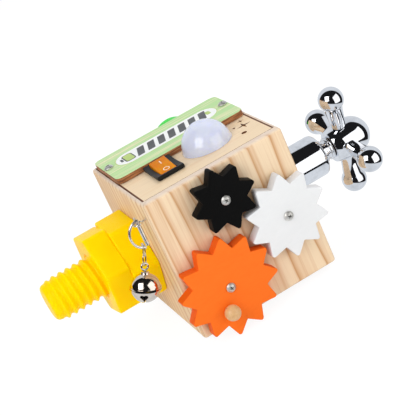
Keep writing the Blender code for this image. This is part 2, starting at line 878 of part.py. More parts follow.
def gear(name, slot, teeth, tip, root, place, turn, front_wall):
    """One painted gear on its washer and screw, its origin on its axis at its front face."""
    x, z = place
    wheel = slab(name, slot, gear_outline(teeth, tip, root), gear_thickness, (x, gear_front, z), FRONT,
                 gear_chamfer)
    spin(shift(wheel, -gear_thickness), turn)
    seat = (x, gear_front - seat_gap, z)
    length = gear_reach + seat_gap + gear_screw_bite
    for target in (wheel, front_wall):
        clearance_hole(target, "%s_hole_in_%s" % (name, target.name), seat, FRONT, length)
    pan_screw(name + "_screw", seat, FRONT, length)
    bore = screw_shank + seat_gap
    profile = [(washer_radius, washer_thickness), (washer_radius, 0), (bore, 0), (bore, washer_thickness)]
    turned(name + "_washer", "nickel", profile, (x, -half_side - seat_gap, z), FRONT, coarse, ring=True)
    return wheel


def meshed_turn(turn, teeth, place, next_teeth, next_place):
    """The turn that puts a valley of the next gear where this gear's tooth comes round."""
    line = math.atan2(next_place[1] - place[1], next_place[0] - place[0])
    lead = (turn - line) * teeth / next_teeth
    return line + math.pi - lead + math.pi / next_teeth


def meshed_place(place, way, tip, root, next_tip, next_root, play):
    """Where the next gear's axis stands, so that neither gear's tips reach the other's roots."""
    apart = max(tip + next_root, next_tip + root) + play
    return (place[0] + apart * math.cos(way), place[1] + apart * math.sin(way))


def gears(front_wall):
    """The three gears, set and turned so that each meshes with the next. Returns the orange one."""
    white_place = meshed_place(orange_place, white_way, orange_tip, orange_root, white_tip, white_root,
                               white_play)
    black_place = meshed_place(white_place, black_way, white_tip, white_root, black_tip, black_root,
                               black_play)
    white_turn = meshed_turn(orange_turn, orange_teeth, orange_place, white_teeth, white_place)
    black_turn = meshed_turn(white_turn, white_teeth, white_place, black_teeth, black_place)
    gear("gear_white", "white_paint", white_teeth, white_tip, white_root, white_place, white_turn,
         front_wall)
    gear("gear_black", "black_paint", black_teeth, black_tip, black_root, black_place, black_turn,
         front_wall)
    return gear("gear_orange", "orange_paint", orange_teeth, orange_tip, orange_root, orange_place,
                orange_turn, front_wall)


def gear_knob(wheel):
    """The ball knob, its dowel let into the orange gear, which carries it."""
    place = (knob_orbit * math.cos(knob_turn), knob_orbit * math.sin(knob_turn), 0)
    stand = seat_gap + math.sqrt(knob_radius * knob_radius - knob_neck * knob_neck)
    profile = ball_profile(knob_radius, stand, math.pi - math.asin(knob_neck / knob_radius), 8)
    profile += [(knob_dowel, seat_gap), (knob_dowel, -knob_dowel_depth), (0, -knob_dowel_depth)]
    knob = turned("gear_knob", "beech", profile, place, UP, medium)
    knob.parent = wheel
    depth = knob_dowel_depth + seat_gap
    socket = shift(rod("knob_socket", None, knob_dowel + seat_gap, depth + overrun, place, UP), -depth)
    socket.parent = wheel
    cut(wheel, socket)
    return knob


# The tap


def tap_bonnet(face, bore):
    """The stepped ring between the collar and the handle."""
    low = collar_length + seat_gap
    third = (bonnet_end - low) / 3
    neck = bonnet_radius - bonnet_groove
    profile = [
        (bore, bonnet_end), (neck, bonnet_end), (bonnet_radius, bonnet_end - bonnet_groove),
        (bonnet_radius, low + 2 * third), (neck, low + 2 * third - bonnet_groove),
        (neck, low + third), (bonnet_radius, low + third - bonnet_groove), (bonnet_radius, low), (bore, low),
    ]
    return turned("tap_bonnet", "chrome", profile, face, RIGHT, medium, ring=True)


def tap_handle(face):
    """The cross handle with its domed hub, its origin on the spindle's axis."""
    seat = bonnet_end + seat_gap
    shoulder = hub_end - hub_radius
    profile = ball_profile(hub_radius, shoulder, math.pi / 2, 6)
    profile += [(hub_radius * across, seat + (shoulder - seat) * up) for across, up in hub_shares]
    profile += [(hub_skirt, seat), (0, seat)]
    handle = turned("tap_handle", "chrome", profile, face, RIGHT, medium)
    arm_profile = ball_profile(arm_ball, arm_reach, math.pi - arm_neck, 7)
    arm_profile += [(arm_waist, arm_waist_at), (arm_root, 0), (0, 0)]
    for index in range(4):
        arm = turned("tap_arm_%d" % (index + 1), None, arm_profile, (half_side + hub_plane, tap_y, tap_z),
                     (arm_turn + index * math.pi / 2, 0, 0), coarse)
        join(handle, arm)
    socket = rod("handle_socket", None, spindle_radius + seat_gap, spindle_reach + seat_gap - seat + overrun,
                 (half_side + seat - overrun, tap_y, tap_z), RIGHT)
    return cut(handle, socket)


def tap(right_wall):
    """Collar, bonnet, spindle and its inner nut, and the cross handle, out of the right wall."""
    face = (half_side, tap_y, tap_z)
    bore = spindle_radius + seat_gap
    crown = arc(collar_round, math.pi / 2, 0, 4, (collar_radius - collar_round, collar_length - collar_round))
    profile = [(bore, collar_length), *crown, (collar_radius, seat_gap), (bore, seat_gap)]
    turned("tap_collar", "chrome", profile, face, RIGHT, fine, ring=True)
    tap_bonnet(face, bore)
    inside = -wall - seat_gap
    tail = inside - spindle_tail
    profile = [(0, spindle_reach), (spindle_radius, spindle_reach), (spindle_radius, tail), (0, tail)]
    turned("tap_spindle", "nickel", profile, face, RIGHT, coarse)
    nut = slab("tap_nut", "nickel", circle(tap_nut_radius, 6), tap_nut_thickness, face, RIGHT)
    shift(nut, inside - tap_nut_thickness)
    start = (half_side + spindle_reach, tap_y, tap_z)
    for target in (nut, right_wall):
        clearance_hole(target, target.name + "_spindle_hole", start, RIGHT, spindle_reach - tail,
                       spindle_radius)
    tap_handle(face)


# The bolt and nut


def hexagon(corner):
    """A hexagon with round corners, the first one along the first axis."""
    inset = hex_round / math.cos(math.pi / 6)
    loop = []
    for side in range(6):
        angle = side * math.pi / 3
        centre = ((corner - inset) * math.cos(angle), (corner - inset) * math.sin(angle))
        loop += arc(hex_round, angle - math.pi / 6, angle + math.pi / 6, 3, centre)
    return loop


def threaded_rod(name, low):
    """A turned blank whose side is raised along a rolled thread that fades out at its tip."""
    start = bolt_reach - lead_in
    steps = round((start - low) / thread_pitch * thread_steps)
    tip = arc(lead_in, math.pi / 2, 0, 3, (thread_root - lead_in, start))
    side = [(thread_root, height) for height in span(start, low, steps)]
    blank = turned(name, None, [(0, bolt_reach), *tip, *side[1:], (0, low)])
    bpy.context.view_layer.update()
    graph = bpy.context.evaluated_depsgraph_get()
    mesh = bpy.data.meshes.new_from_object(blank.evaluated_get(graph))
    blank.modifiers.clear()
    blank.data = mesh
    for vertex in mesh.vertices:
        x, y, z = vertex.co
        radius = math.hypot(x, y)
        if radius < thread_root - merge:
            continue
        fade = max(0, min(1, (start - z) / thread_fade))
        wave = (1 - math.cos(math.tau * z / thread_pitch - math.atan2(y, x))) / 2
        grown = 1 + (thread_crest - thread_root) * fade * wave / radius
        vertex.co = (x * grown, y * grown, z)
    return blank


def bolt(left_wall):
    """The yellow bolt, and the two screws that hold it from inside the block."""
    face = -half_side - seat_gap
    head = slab("bolt", "yellow_plastic", hexagon(head_corner), head_end - seat_gap, (face, bolt_y, bolt_z),
                LEFT, hex_chamfer)
    spin(head, math.pi / 2)
    shank = threaded_rod("bolt_shank", head_end / 2)
    shank.location = (-half_side, bolt_y, bolt_z)
    shank.rotation_euler = LEFT
    join(head, shank)
    seat = wall - half_side + seat_gap
    length = wall + 2 * seat_gap + bolt_screw_bite
    for name, z in (("upper", bolt_z + bolt_screw_offset), ("lower", bolt_z - bolt_screw_offset)):
        pan_screw("bolt_screw_" + name, (seat, bolt_y, z), RIGHT, length)
        for target in (left_wall, head):
            clearance_hole(target, "%s_%s_hole" % (target.name, name), (seat, bolt_y, z), RIGHT, length)
    return head


def bolt_nut():
    """The loose yellow nut, its origin on the bolt's axis beside the head."""
    back = head_end + seat_gap
    place = (-half_side - back, bolt_y, bolt_z)
    nut = slab("bolt_nut", "yellow_plastic", hexagon(nut_corner), nut_thickness, place, LEFT, hex_chamfer)
    spin(nut, math.pi / 2 + nut_turn)
    bore = rod("nut_bore", None, thread_crest + nut_clearance, nut_thickness + 2 * overrun, place, LEFT, fine)
    return cut(nut, shift(bore, -overrun))


# The bell on its clasp


def hang_point(station):
    """A place on the hanging line, which starts at the lowest point of the clasp along it."""
    size = math.hypot(clasp_out * hang.x, clasp_rise * hang.z)
    x = clasp_x + clasp_out * clasp_out * hang.x / size
    z = clasp_z + clasp_rise * clasp_rise * hang.z / size
    return Vector((x, eye_y, z)) + hang * station


def screw_eye(left_wall):
    """A wire ring lying level, on a shank let into the left wall."""
    ring = [(clasp_x + x, eye_y + y, eye_z) for x, y in circle(eye_ring, 18)]
    eye = wire("screw_eye", "nickel", ring, eye_wire, closed=True)
    start = (clasp_x + eye_ring, eye_y, eye_z)
    length = eye_bite - half_side - start[0]
    clearance_hole(left_wall, "eye_hole", start, LEFT, length, eye_shank)
    return join(eye, rod("eye_shank", None, eye_shank, length, start, RIGHT))


def clasp_hook():
    """The D-shaped bow, from over the eye's rim round to the stub below the lever."""
    end = -math.acos(clasp_corner / clasp_out)
    bow = [(clasp_x - clasp_out * math.cos(a), clasp_z + clasp_rise * math.sin(a))
           for a in span(clasp_start, end, 18)]
    bow += arc(clasp_corner, -math.pi / 2, 0, 3, (clasp_x - clasp_corner, clasp_low + clasp_corner))[1:]
    bow.append((clasp_x, stub_top))
    hook = wire("clasp_hook", "nickel", [(x, eye_y, z) for x, z in bow], clasp_wire)
    return set_origin(hook, (clasp_x - eye_ring, eye_y, eye_z))


def clasp_lever():
    """The straight bar that closes the D, its origin where it hinges."""
    length = lever_top - stub_top - link_gap
    return rod("clasp_lever", "nickel", lever_radius, length, (clasp_x, eye_y, lever_top), DOWN)


def chain_link(name, top, width, twist, pivot):
    """An oval wire link, twisted about the hanging line, its origin where it swings."""
    side = Vector((0, 1, 0)) * math.cos(twist) + hang_across * math.sin(twist)
    radius = width / 2
    loop = [(s, top + radius - d) for s, d in arc(radius, 0, math.pi, 6)]
    loop += [(s, top + link_length - radius - d) for s, d in arc(radius, math.pi, math.tau, 6)]
    places = [hang_point(station) + side * s for s, station in loop]
    return set_origin(wire(name, "nickel", places, link_wire, closed=True, sides=1), hang_point(pivot))


def bell_loop():
    """The wire ring that the bell hangs by, its stem going through the crown to a foot inside."""
    centre = hang_point(loop_centre)
    ring = [centre + hang_across * x + hang * y for x, y in circle(loop_radius, 16)]
    loop = wire("bell_loop", "nickel", ring, loop_wire, closed=True)
    low = bell_crown + bell_neck_height + bell_wall + link_gap
    stem = [(0, loop_centre + loop_radius), (loop_wire, loop_centre + loop_radius), (loop_wire, low),
            (loop_foot, low), (loop_foot, low + loop_foot_height), (0, low + loop_foot_height)]
    profile = [(radius, -station) for radius, station in stem]
    join(loop, turned("bell_stem", None, profile, hang_point(0), (0, hang_angle, 0), coarse))
    return set_origin(loop, hang_point(lower_link_low))


def shell_profile(crown):
    """Half of the bell from its pole to its rim and back up inside, in heights from its centre."""
    inner = bell_radius - bell_wall
    edge = glue_line / 2
    quarter = math.pi / 2
    rim = math.acos((edge + bell_rim_height) / bell_radius)
    lip = [(bell_radius + bell_rim, edge + bell_rim_height), (bell_radius + bell_rim, edge)]
    hole = loop_wire + link_gap
    start, inner_start = (math.asin(bell_neck / bell_radius), math.asin(hole / inner)) if crown else (0, 0)
    outside = [(bell_radius * math.sin(a), bell_radius * math.cos(a)) for a in span(start, rim, 6)]
    inside = [(inner * math.sin(a), inner * math.cos(a))
              for a in span(math.acos(edge / inner), inner_start, 7)]
    if not crown:
        return outside + lip + inside
    top = bell_radius + bell_neck_height
    return [(hole, top), (bell_neck, top), *outside, *lip, *inside]


def bell_slots(lower, hanger, place):
    """Two crossing slots in the lower shell, with a round hole at each of their ends."""
    reach = bell_radius * math.sin(slot_turn)
    height = bell_radius * math.cos(slot_turn)
    low = bell_radius + overrun
    for name, turn in (("across", slot_twist), ("along", slot_twist + math.pi / 2)):
        slot = box("bell_slot_" + name, None, (-reach, -slot_width / 2, -low),
                   (reach, slot_width / 2, -height))
        slot.location += Vector(place)
        slot.rotation_euler = (0, 0, turn)
        slot.parent = hanger
        cut(lower, slot)
        for tilt in (math.pi - slot_turn, slot_turn - math.pi):
            hole = rod("bell_hole_" + name, None, slot_hole, bell_radius, place, (tilt, 0, turn))
            shift(hole, overrun).parent = hanger
            cut(lower, hole)


def bell():
    """The two shells and the pellet, hung from an empty on the loop's hinge line."""
    hanger = bpy.data.objects.new("bell_hanger", None)
    parts.objects.link(hanger)
    hanger.location = hang_point(lower_link_low)
    hanger.rotation_euler = (0, hang_angle, 0)
    place = (0, 0, lower_link_low - bell_centre)
    upper = turned("bell_upper", "nickel", shell_profile(True), place, UP, medium, ring=True)
    lower = turned("bell_lower", "nickel", shell_profile(False), place, DOWN, medium)
    bell_slots(lower, hanger, place)
    rest = bell_radius - bell_wall - pellet_radius - link_gap
    pellet = turned("bell_pellet", "nickel", ball_profile(pellet_radius, 0, math.pi, 8),
                    (0, 0, place[2] - rest), UP, coarse)
    for piece in (upper, lower, pellet):
        piece.parent = hanger


# The green cap


def cap_neck(back_wall):
    """The ridged neck that the cap screws on, with the screw that holds it deep in its bore."""
    radius = cap_radius - cap_wall - neck_clearance - neck_ridge
    bore = screw_shank + seat_gap
    ridge = (neck_length - neck_flange) / (2 * neck_ridges)
    side = []
    for index in range(neck_ridges):
        height = neck_length - 2 * index * ridge
        side += [(radius, height), (radius + neck_ridge, height - ridge)]
    profile = [(neck_bore, neck_length), *side, (radius, neck_flange), (cap_radius, neck_flange),
               (cap_radius, 0), (bore, 0), (bore, neck_floor), (neck_bore, neck_floor)]
    place = (cap_x, half_side + seat_gap, cap_z)
    turned("cap_neck", "green_plastic", profile, place, BACK, medium, ring=True)
    seat = (cap_x, half_side + 2 * seat_gap + neck_floor, cap_z)
    length = neck_floor + 2 * seat_gap + neck_screw_bite
    pan_screw("neck_screw", seat, BACK, length)
    clearance_hole(back_wall, "neck_screw_hole", seat, BACK, length)


def green_cap():
    """The hollow screw cap, its origin on its axis at its open end."""
    inner = cap_radius - cap_wall
    shoulder = arc(cap_round, math.pi / 2, 0, 3, (cap_radius - cap_round, cap_length - cap_round))
    profile = [(0, cap_length), *shoulder, (cap_radius, 0), (inner, 0), (inner, cap_length - cap_wall),
               (0, cap_length - cap_wall)]
    place = (cap_x, half_side + neck_flange + 2 * seat_gap, cap_z)
    return turned("green_cap", "green_plastic", profile, place, BACK, fine)


# The whole part


def build_block():
    """The walls and panels. Returns the walls in the order front, right, back, left."""
    front_wall, right_wall, back_wall, left_wall = pine_walls()
    base_panel(front_wall, back_wall)
    name_plate(top_panel(), left_wall, right_wall)
    return front_wall, right_wall, back_wall, left_wall


def build_electrics():
    switch_housing()
    rocker()
    switch_terminals()
    lamp_dome()
    lamp_board()
    battery_box()
    leads()


def build_bell(left_wall):
    screw_eye(left_wall)
    clasp_hook()
    clasp_lever()
    chain_link("chain_link_upper", upper_link_top, upper_link_width, 0, 0)
    chain_link("chain_link_lower", lower_link_top, lower_link_width, link_twist, upper_link_low)
    bell_loop()
    bell()


def main():
    front_wall, right_wall, back_wall, left_wall = build_block()
    build_electrics()
    gear_knob(gears(front_wall))
    tap(right_wall)
    bolt(left_wall)
    bolt_nut()
    build_bell(left_wall)
    cap_neck(back_wall)
    green_cap()


clear_scene()
parts = new_collection("Busy board block")
cutters = new_collection("Cutters")
finishes = make_finishes()
main()
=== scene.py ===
"""Busy board block: the detailed pieces, finishes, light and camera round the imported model.

Metres, +Z up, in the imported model's frame: the origin is the centre of the block's base, the
gears face -Y, the tap +X, the bolt and the bell -X, and the green cap +Y.
"""

import logging
import math
from collections.abc import Callable, Sequence
from dataclasses import dataclass, field
from enum import Enum
from typing import Any

import bmesh
import bpy
from mathutils import Matrix, Vector


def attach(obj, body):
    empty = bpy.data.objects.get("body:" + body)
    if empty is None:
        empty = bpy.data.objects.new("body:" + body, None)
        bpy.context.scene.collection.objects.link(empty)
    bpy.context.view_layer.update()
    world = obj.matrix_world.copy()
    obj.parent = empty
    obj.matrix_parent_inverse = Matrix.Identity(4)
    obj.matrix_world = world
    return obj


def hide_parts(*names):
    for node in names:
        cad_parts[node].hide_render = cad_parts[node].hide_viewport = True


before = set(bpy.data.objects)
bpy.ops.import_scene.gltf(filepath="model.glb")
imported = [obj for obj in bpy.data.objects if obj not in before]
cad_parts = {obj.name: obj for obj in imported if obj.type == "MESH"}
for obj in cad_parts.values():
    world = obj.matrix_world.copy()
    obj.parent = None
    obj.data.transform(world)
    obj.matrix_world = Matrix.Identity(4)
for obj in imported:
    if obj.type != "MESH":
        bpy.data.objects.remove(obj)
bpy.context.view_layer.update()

log = logging.getLogger("busy_board")

MM = 0.001
GAP = 0.3 * MM
HAIR = 0.01 * MM
QUARTER = math.pi / 2
CREASE = 32.0
ROUND_CREASE = 40.0
WIRE_CREASE = 45.0

Triple = tuple[float, float, float]
Pair = tuple[float, float]

ORIGIN: Triple = (0.0, 0.0, 0.0)


class Stand(Enum):
    """The turn that points a piece's own +Z up, down, or out of one wall."""

    UP = (0.0, 0.0, 0.0)
    DOWN = (math.pi, 0.0, 0.0)
    FRONT = (QUARTER, 0.0, 0.0)
    BACK = (-QUARTER, 0.0, 0.0)
    LEFT = (0.0, -QUARTER, 0.0)
    RIGHT = (0.0, QUARTER, 0.0)


def linear(red: float, green: float, blue: float) -> tuple[float, float, float, float]:
    """Turns a colour as seen on a screen, 0 to 255, into the linear one that a shader takes.

    Args:
        red: The red value.
        green: The green value.
        blue: The blue value.

    Returns:
        The linear colour, with an alpha of 1.
    """
    parts = [value / 255 for value in (red, green, blue)]
    curve = [v / 12.92 if v <= 0.04045 else ((v + 0.055) / 1.055) ** 2.4 for v in parts]
    return (curve[0], curve[1], curve[2], 1.0)


def span(start: float, end: float, steps: int) -> list[float]:
    """Lists even steps from one value to another, both included."""
    return [start + (end - start) * i / steps for i in range(steps + 1)]


def arc(radius: float, start: float, end: float, steps: int, centre: Pair = (0.0, 0.0)) -> list[Pair]:
    """Lists points along an arc.

    Args:
        radius: The arc's radius.
        start: The first angle, from the first axis towards the second.
        end: The last angle.
        steps: How many chords the arc has.
        centre: The arc's centre.

    Returns:
        The points, both ends included.
    """
    x, y = centre
    return [(x + radius * math.cos(a), y + radius * math.sin(a)) for a in span(start, end, steps)]


def ball(radius: float, start: float, end: float, steps: int, height: float = 0.0) -> list[Pair]:
    """Lists points down a ball's side, for a turned piece's profile.

    Args:
        radius: The ball's radius.
        start: The first angle, from the ball's pole.
        end: The last angle.
        steps: How many chords there are.
        height: How high the ball's centre is.

    Returns:
        The points, both ends included.
    """
    return [(radius * math.sin(a), height + radius * math.cos(a)) for a in span(start, end, steps)]


def softened(corners: Sequence[tuple[float, float, float]], steps: int = 5) -> list[Pair]:
    """Rounds the corners of a turned piece's profile.

    Args:
        corners: Each corner as its radius from the axis, its height, and how round it is.
        steps: How many chords each rounding has.

    Returns:
        The profile's points.
    """
    places = [Vector(corner[:2]) for corner in corners]
    points: list[Pair] = []
    for index, (place, corner) in enumerate(zip(places, corners)):
        if not corner[2] or index in (0, len(corners) - 1):
            points.append((place.x, place.y))
            continue
        before = (places[index - 1] - place).normalized()
        after = (places[index + 1] - place).normalized()
        half = before.angle(after) / 2
        centre = place + (before + after).normalized() * (corner[2] / math.sin(half))
        reach = corner[2] / math.tan(half)
        first = place + before * reach - centre
        last = place + after * reach - centre
        for step in range(steps + 1):
            spot = centre + first.slerp(last, step / steps) * corner[2]
            points.append((spot.x, spot.y))
    return points


class Piece:
    """A new piece under the hand, shaped by Blender's own tools."""

    def __init__(self, name: str) -> None:
        """Takes up the object that was just added, under a name of its own."""
        self.obj = bpy.context.active_object
        self.obj.name = name
        self.obj.data.name = name

    # Ways to start

    @classmethod
    def block(cls, name: str, low: Triple, high: Triple) -> "Piece":
        """Starts from a box between two corners."""
        bpy.ops.object.select_all(action="DESELECT")
        size = [b - a for a, b in zip(low, high)]
        middle = [(a + b) / 2 for a, b in zip(low, high)]
        bpy.ops.mesh.primitive_cube_add(size=1, location=middle, scale=size)
        return cls(name).settled()

    @classmethod
    def rod(cls, name: str, radius: float, low: float, high: float, sides: int = 48) -> "Piece":
        """Starts from a rod along +Z between two heights."""
        bpy.ops.object.select_all(action="DESELECT")
        bpy.ops.mesh.primitive_cylinder_add(vertices=sides, radius=radius, depth=high - low,
                                            location=(0, 0, (low + high) / 2))
        return cls(name).settled()

    @classmethod
    def disc(cls, name: str, radius: float, sides: int) -> "Piece":
        """Starts from a flat disc on the XY plane."""
        bpy.ops.object.select_all(action="DESELECT")
        bpy.ops.mesh.primitive_circle_add(vertices=sides, radius=radius, fill_type="NGON")
        return cls(name)

    @classmethod
    def ring(cls, name: str, radius: float, wire: float, around: int = 48, across: int = 14) -> "Piece":
        """Starts from a wire ring on the XY plane."""
        bpy.ops.object.select_all(action="DESELECT")
        bpy.ops.mesh.primitive_torus_add(major_radius=radius, minor_radius=wire,
                                         major_segments=around, minor_segments=across)
        return cls(name)

    @classmethod
    def turned(cls, name: str, profile: Sequence[Pair], steps: int = 64, ring: bool = False) -> "Piece":
        """Turns a piece on the lathe: its profile is drawn point by point and spun about +Z.

        Args:
            name: The piece's name.
            profile: Its radius and height at each point.
            steps: How many facets it has round it.
            ring: Whether the profile closes on itself, as for a piece with a bore.

        Returns:
            The turned piece.
        """
        bpy.ops.object.select_all(action="DESELECT")
        bpy.ops.mesh.primitive_plane_add(size=MM)
        piece = cls(name).edit()
        bpy.ops.mesh.select_all(action="SELECT")
        bpy.ops.mesh.merge(type="CENTER")
        spot = Vector((0.0, 0.0))
        outline = [*profile, profile[0]] if ring else list(profile)
        for index, point in enumerate(outline):
            step = Vector(point) - spot
            spot = Vector(point)
            if index == 0:
                bpy.ops.transform.translate(value=(step.x, 0, step.y))
            else:
                bpy.ops.mesh.extrude_region_move(TRANSFORM_OT_translate={"value": (step.x, 0, step.y)})
        bpy.ops.mesh.select_all(action="SELECT")
        bpy.ops.mesh.spin(steps=steps, angle=math.tau, center=(0, 0, 0), axis=(0, 0, 1))
        return piece.merged().close()

    # Ways to hold it

    def alone(self) -> "Piece":
        """Selects just this piece."""
        bpy.ops.object.select_all(action="DESELECT")
        self.obj.select_set(True)
        bpy.context.view_layer.objects.active = self.obj
        return self

    def settled(self) -> "Piece":
        """Puts the object's place, turn and scale into its mesh."""
        self.alone()
        bpy.ops.object.transform_apply(location=True, rotation=True, scale=True)
        return self

    def edit(self) -> "Piece":
        """Opens the mesh for editing, with nothing selected."""
        self.alone()
        bpy.ops.object.mode_set(mode="EDIT")
        bpy.ops.mesh.select_mode(type="VERT")
        bpy.ops.mesh.select_all(action="DESELECT")
        return self

    def close(self) -> "Piece":
        """Ends the editing."""
        bpy.ops.object.mode_set(mode="OBJECT")
        return self

    def merged(self) -> "Piece":
        """Merges doubled points and turns all faces outwards, while editing."""
        bpy.ops.mesh.select_all(action="SELECT")
        bpy.ops.mesh.remove_doubles(threshold=0.002 * MM)
        bpy.ops.mesh.normals_make_consistent(inside=False)
        bpy.ops.mesh.select_all(action="DESELECT")
        return self

    def select(self, kind: str, where: Callable[[Any], bool]) -> "Piece":
        """Selects just the points, edges or faces that a test picks.

        Args:
            kind: What is selected: VERT, EDGE or FACE.
            where: The test that each of them is put to.

        Returns:
            The piece.
        """
        bpy.ops.mesh.select_all(action="DESELECT")
        bpy.ops.mesh.select_mode(type=kind)
        mesh = bmesh.from_edit_mesh(self.obj.data)
        for item in {"VERT": mesh.verts, "EDGE": mesh.edges, "FACE": mesh.faces}[kind]:
            item.select = where(item)
        mesh.select_flush_mode()
        bmesh.update_edit_mesh(self.obj.data)
        return self

    def faces(self, where: Callable[[Vector, Vector], bool]) -> "Piece":
        """Selects just the faces that a test of their centre and normal picks."""
        return self.select("FACE", lambda face: where(face.calc_center_median(), face.normal))

    def edges(self, where: Callable[[Vector, Vector], bool]) -> "Piece":
        """Selects just the edges that a test of their two ends picks."""
        return self.select("EDGE", lambda edge: where(edge.verts[0].co, edge.verts[1].co))

    def points(self, where: Callable[[Vector], bool]) -> "Piece":
        """Selects just the points that a test of their place picks."""
        return self.select("VERT", lambda vert: where(vert.co))

    def uprights(self, least: float) -> "Piece":
        """Selects just the edges that rise by more than a height."""
        return self.edges(lambda a, b: abs(a.z - b.z) > least)

    # Ways to shape what is selected

    def extrude(self, move: Triple) -> "Piece":
        """Draws the selection out by a move."""
        bpy.ops.mesh.extrude_region_move(TRANSFORM_OT_translate={"value": move})
        return self

    def shift(self, move: Triple) -> "Piece":
        """Moves the selection."""
        bpy.ops.transform.translate(value=move)
        return self

    def resize(self, shares: Triple) -> "Piece":
        """Scales the selection about the origin."""
        bpy.ops.transform.resize(value=shares, center_override=ORIGIN)
        return self

    def round_edges(self, offset: float, segments: int = 3) -> "Piece":
        """Bevels the selected edges."""
        bpy.ops.mesh.bevel(offset=offset, segments=segments, affect="EDGES", clamp_overlap=True)
        return self

    def round_corners(self, offset: float, segments: int = 5) -> "Piece":
        """Rounds a flat outline's selected points."""
        bpy.ops.mesh.bevel(offset=offset, segments=segments, affect="VERTICES", clamp_overlap=True)
        return self

    # Ways to join pieces and to set one down

    def boolean(self, other: "Piece", operation: str) -> "Piece":
        """Joins another piece to this one or cuts it out, and uses the other up."""
        modifier = self.obj.modifiers.new("joint", "BOOLEAN")
        modifier.operation = operation
        modifier.solver = "EXACT"
        modifier.object = other.obj
        self.alone()
        bpy.ops.object.modifier_apply(modifier=modifier.name)
        other.discard()
        return self

    def cut(self, other: "Piece") -> "Piece":
        """Cuts another piece out of this one."""
        return self.boolean(other, "DIFFERENCE")

    def join(self, other: "Piece") -> "Piece":
        """Joins another piece to this one."""
        return self.boolean(other, "UNION")

    def discard(self) -> None:
        """Removes the piece."""
        bpy.data.objects.remove(self.obj, do_unlink=True)

    def copied(self, name: str) -> "Piece":
        """Makes a copy with a mesh of its own."""
        self.alone()
        bpy.ops.object.duplicate(linked=False)
        return Piece(name)

    def stand(self, turn: Stand | Triple, place: Triple | Vector = ORIGIN) -> "Piece":
        """Turns the piece, sets it in its place, and puts both into its mesh."""
        self.obj.rotation_euler = turn.value if isinstance(turn, Stand) else turn
        self.obj.location = place
        return self.settled()

    def spun(self, angle: float) -> "Piece":
        """Turns the piece about +Z, and puts the turn into its mesh."""
        return self.stand((0.0, 0.0, angle))

    def finished(self, material: bpy.types.Material, slot: str, body: str, nodes: Sequence[str] = (),
                 crease: float = CREASE) -> "Piece":
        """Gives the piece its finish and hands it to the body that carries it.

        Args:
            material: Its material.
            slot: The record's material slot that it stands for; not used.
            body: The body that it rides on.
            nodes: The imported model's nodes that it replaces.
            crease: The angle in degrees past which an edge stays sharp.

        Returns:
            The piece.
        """
        self.edit().merged().close()
        bpy.ops.object.shade_smooth_by_angle(angle=math.radians(crease))
        self.obj.data.materials.clear()
        self.obj.data.materials.append(material)
        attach(self.obj, body)
        names = list(nodes)
        if names:
            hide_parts(*names)
        log.info("%s: %d faces on %s", self.obj.name, len(self.obj.data.polygons), body)
        return self


class Nodes:
    """A node tree that is wired node by node."""

    def __init__(self, tree: bpy.types.NodeTree) -> None:
        """Takes up a tree."""
        self.tree = tree

    def link(self, out: Any, into: Any) -> None:
        """Joins an output to an input, or sets the input where the output is a plain value."""
        if isinstance(out, bpy.types.NodeSocket):
            self.tree.links.new(out, into)
        else:
            into.default_value = out

    def add(self, kind: str, inputs: dict[str | int, Any] | None = None, **settings: Any) -> bpy.types.Node:
        """Adds a node.

        Args:
            kind: Its type.
            inputs: An output or a plain value for each input that is fed.
            settings: Its own settings.

        Returns:
            The node.
        """
        node = self.tree.nodes.new(kind)
        for name, value in settings.items():
            setattr(node, name, value)
        for name, value in (inputs or {}).items():
            self.link(value, node.inputs[name])
        return node

    def scale(self, value: Any, low: float, high: float, least: float = 0.0, most: float = 1.0) -> Any:
        """Maps a value from one span to another, and clamps it there.

        Args:
            value: The value.
            low: What it becomes at its least.
            high: What it becomes at its most.
            least: Its least.
            most: Its most.

        Returns:
            The new value.
        """
        inputs = {"Value": value, "From Min": least, "From Max": most, "To Min": low, "To Max": high}
        return self.add("ShaderNodeMapRange", inputs, clamp=True).outputs["Result"]

    def mix(self, share: Any, first: Any, second: Any) -> Any:
        """Mixes two colours."""
        inputs = {"Factor": share, 6: first, 7: second}
        return self.add("ShaderNodeMix", inputs, data_type="RGBA", blend_type="MIX").outputs[2]

    def over(self, tone: Any, colour: Any, value: Any, share: float, least: float = 0.0,
             most: float = 1.0) -> Any:
        """Lays a colour over a tone, up to a share of it, as a value goes from its least to its most."""
        return self.mix(self.scale(value, 0.0, share, least, most), tone, colour)

    def maths(self, operation: str, first: Any, second: Any = 0.0) -> Any:
        """Works out one value from two."""
        return self.add("ShaderNodeMath", {0: first, 1: second}, operation=operation).outputs[0]

    def part(self, vector: Any, axis: str) -> Any:
        """Gives a vector's part along one axis."""
        return self.add("ShaderNodeSeparateXYZ", {"Vector": vector}).outputs[axis]


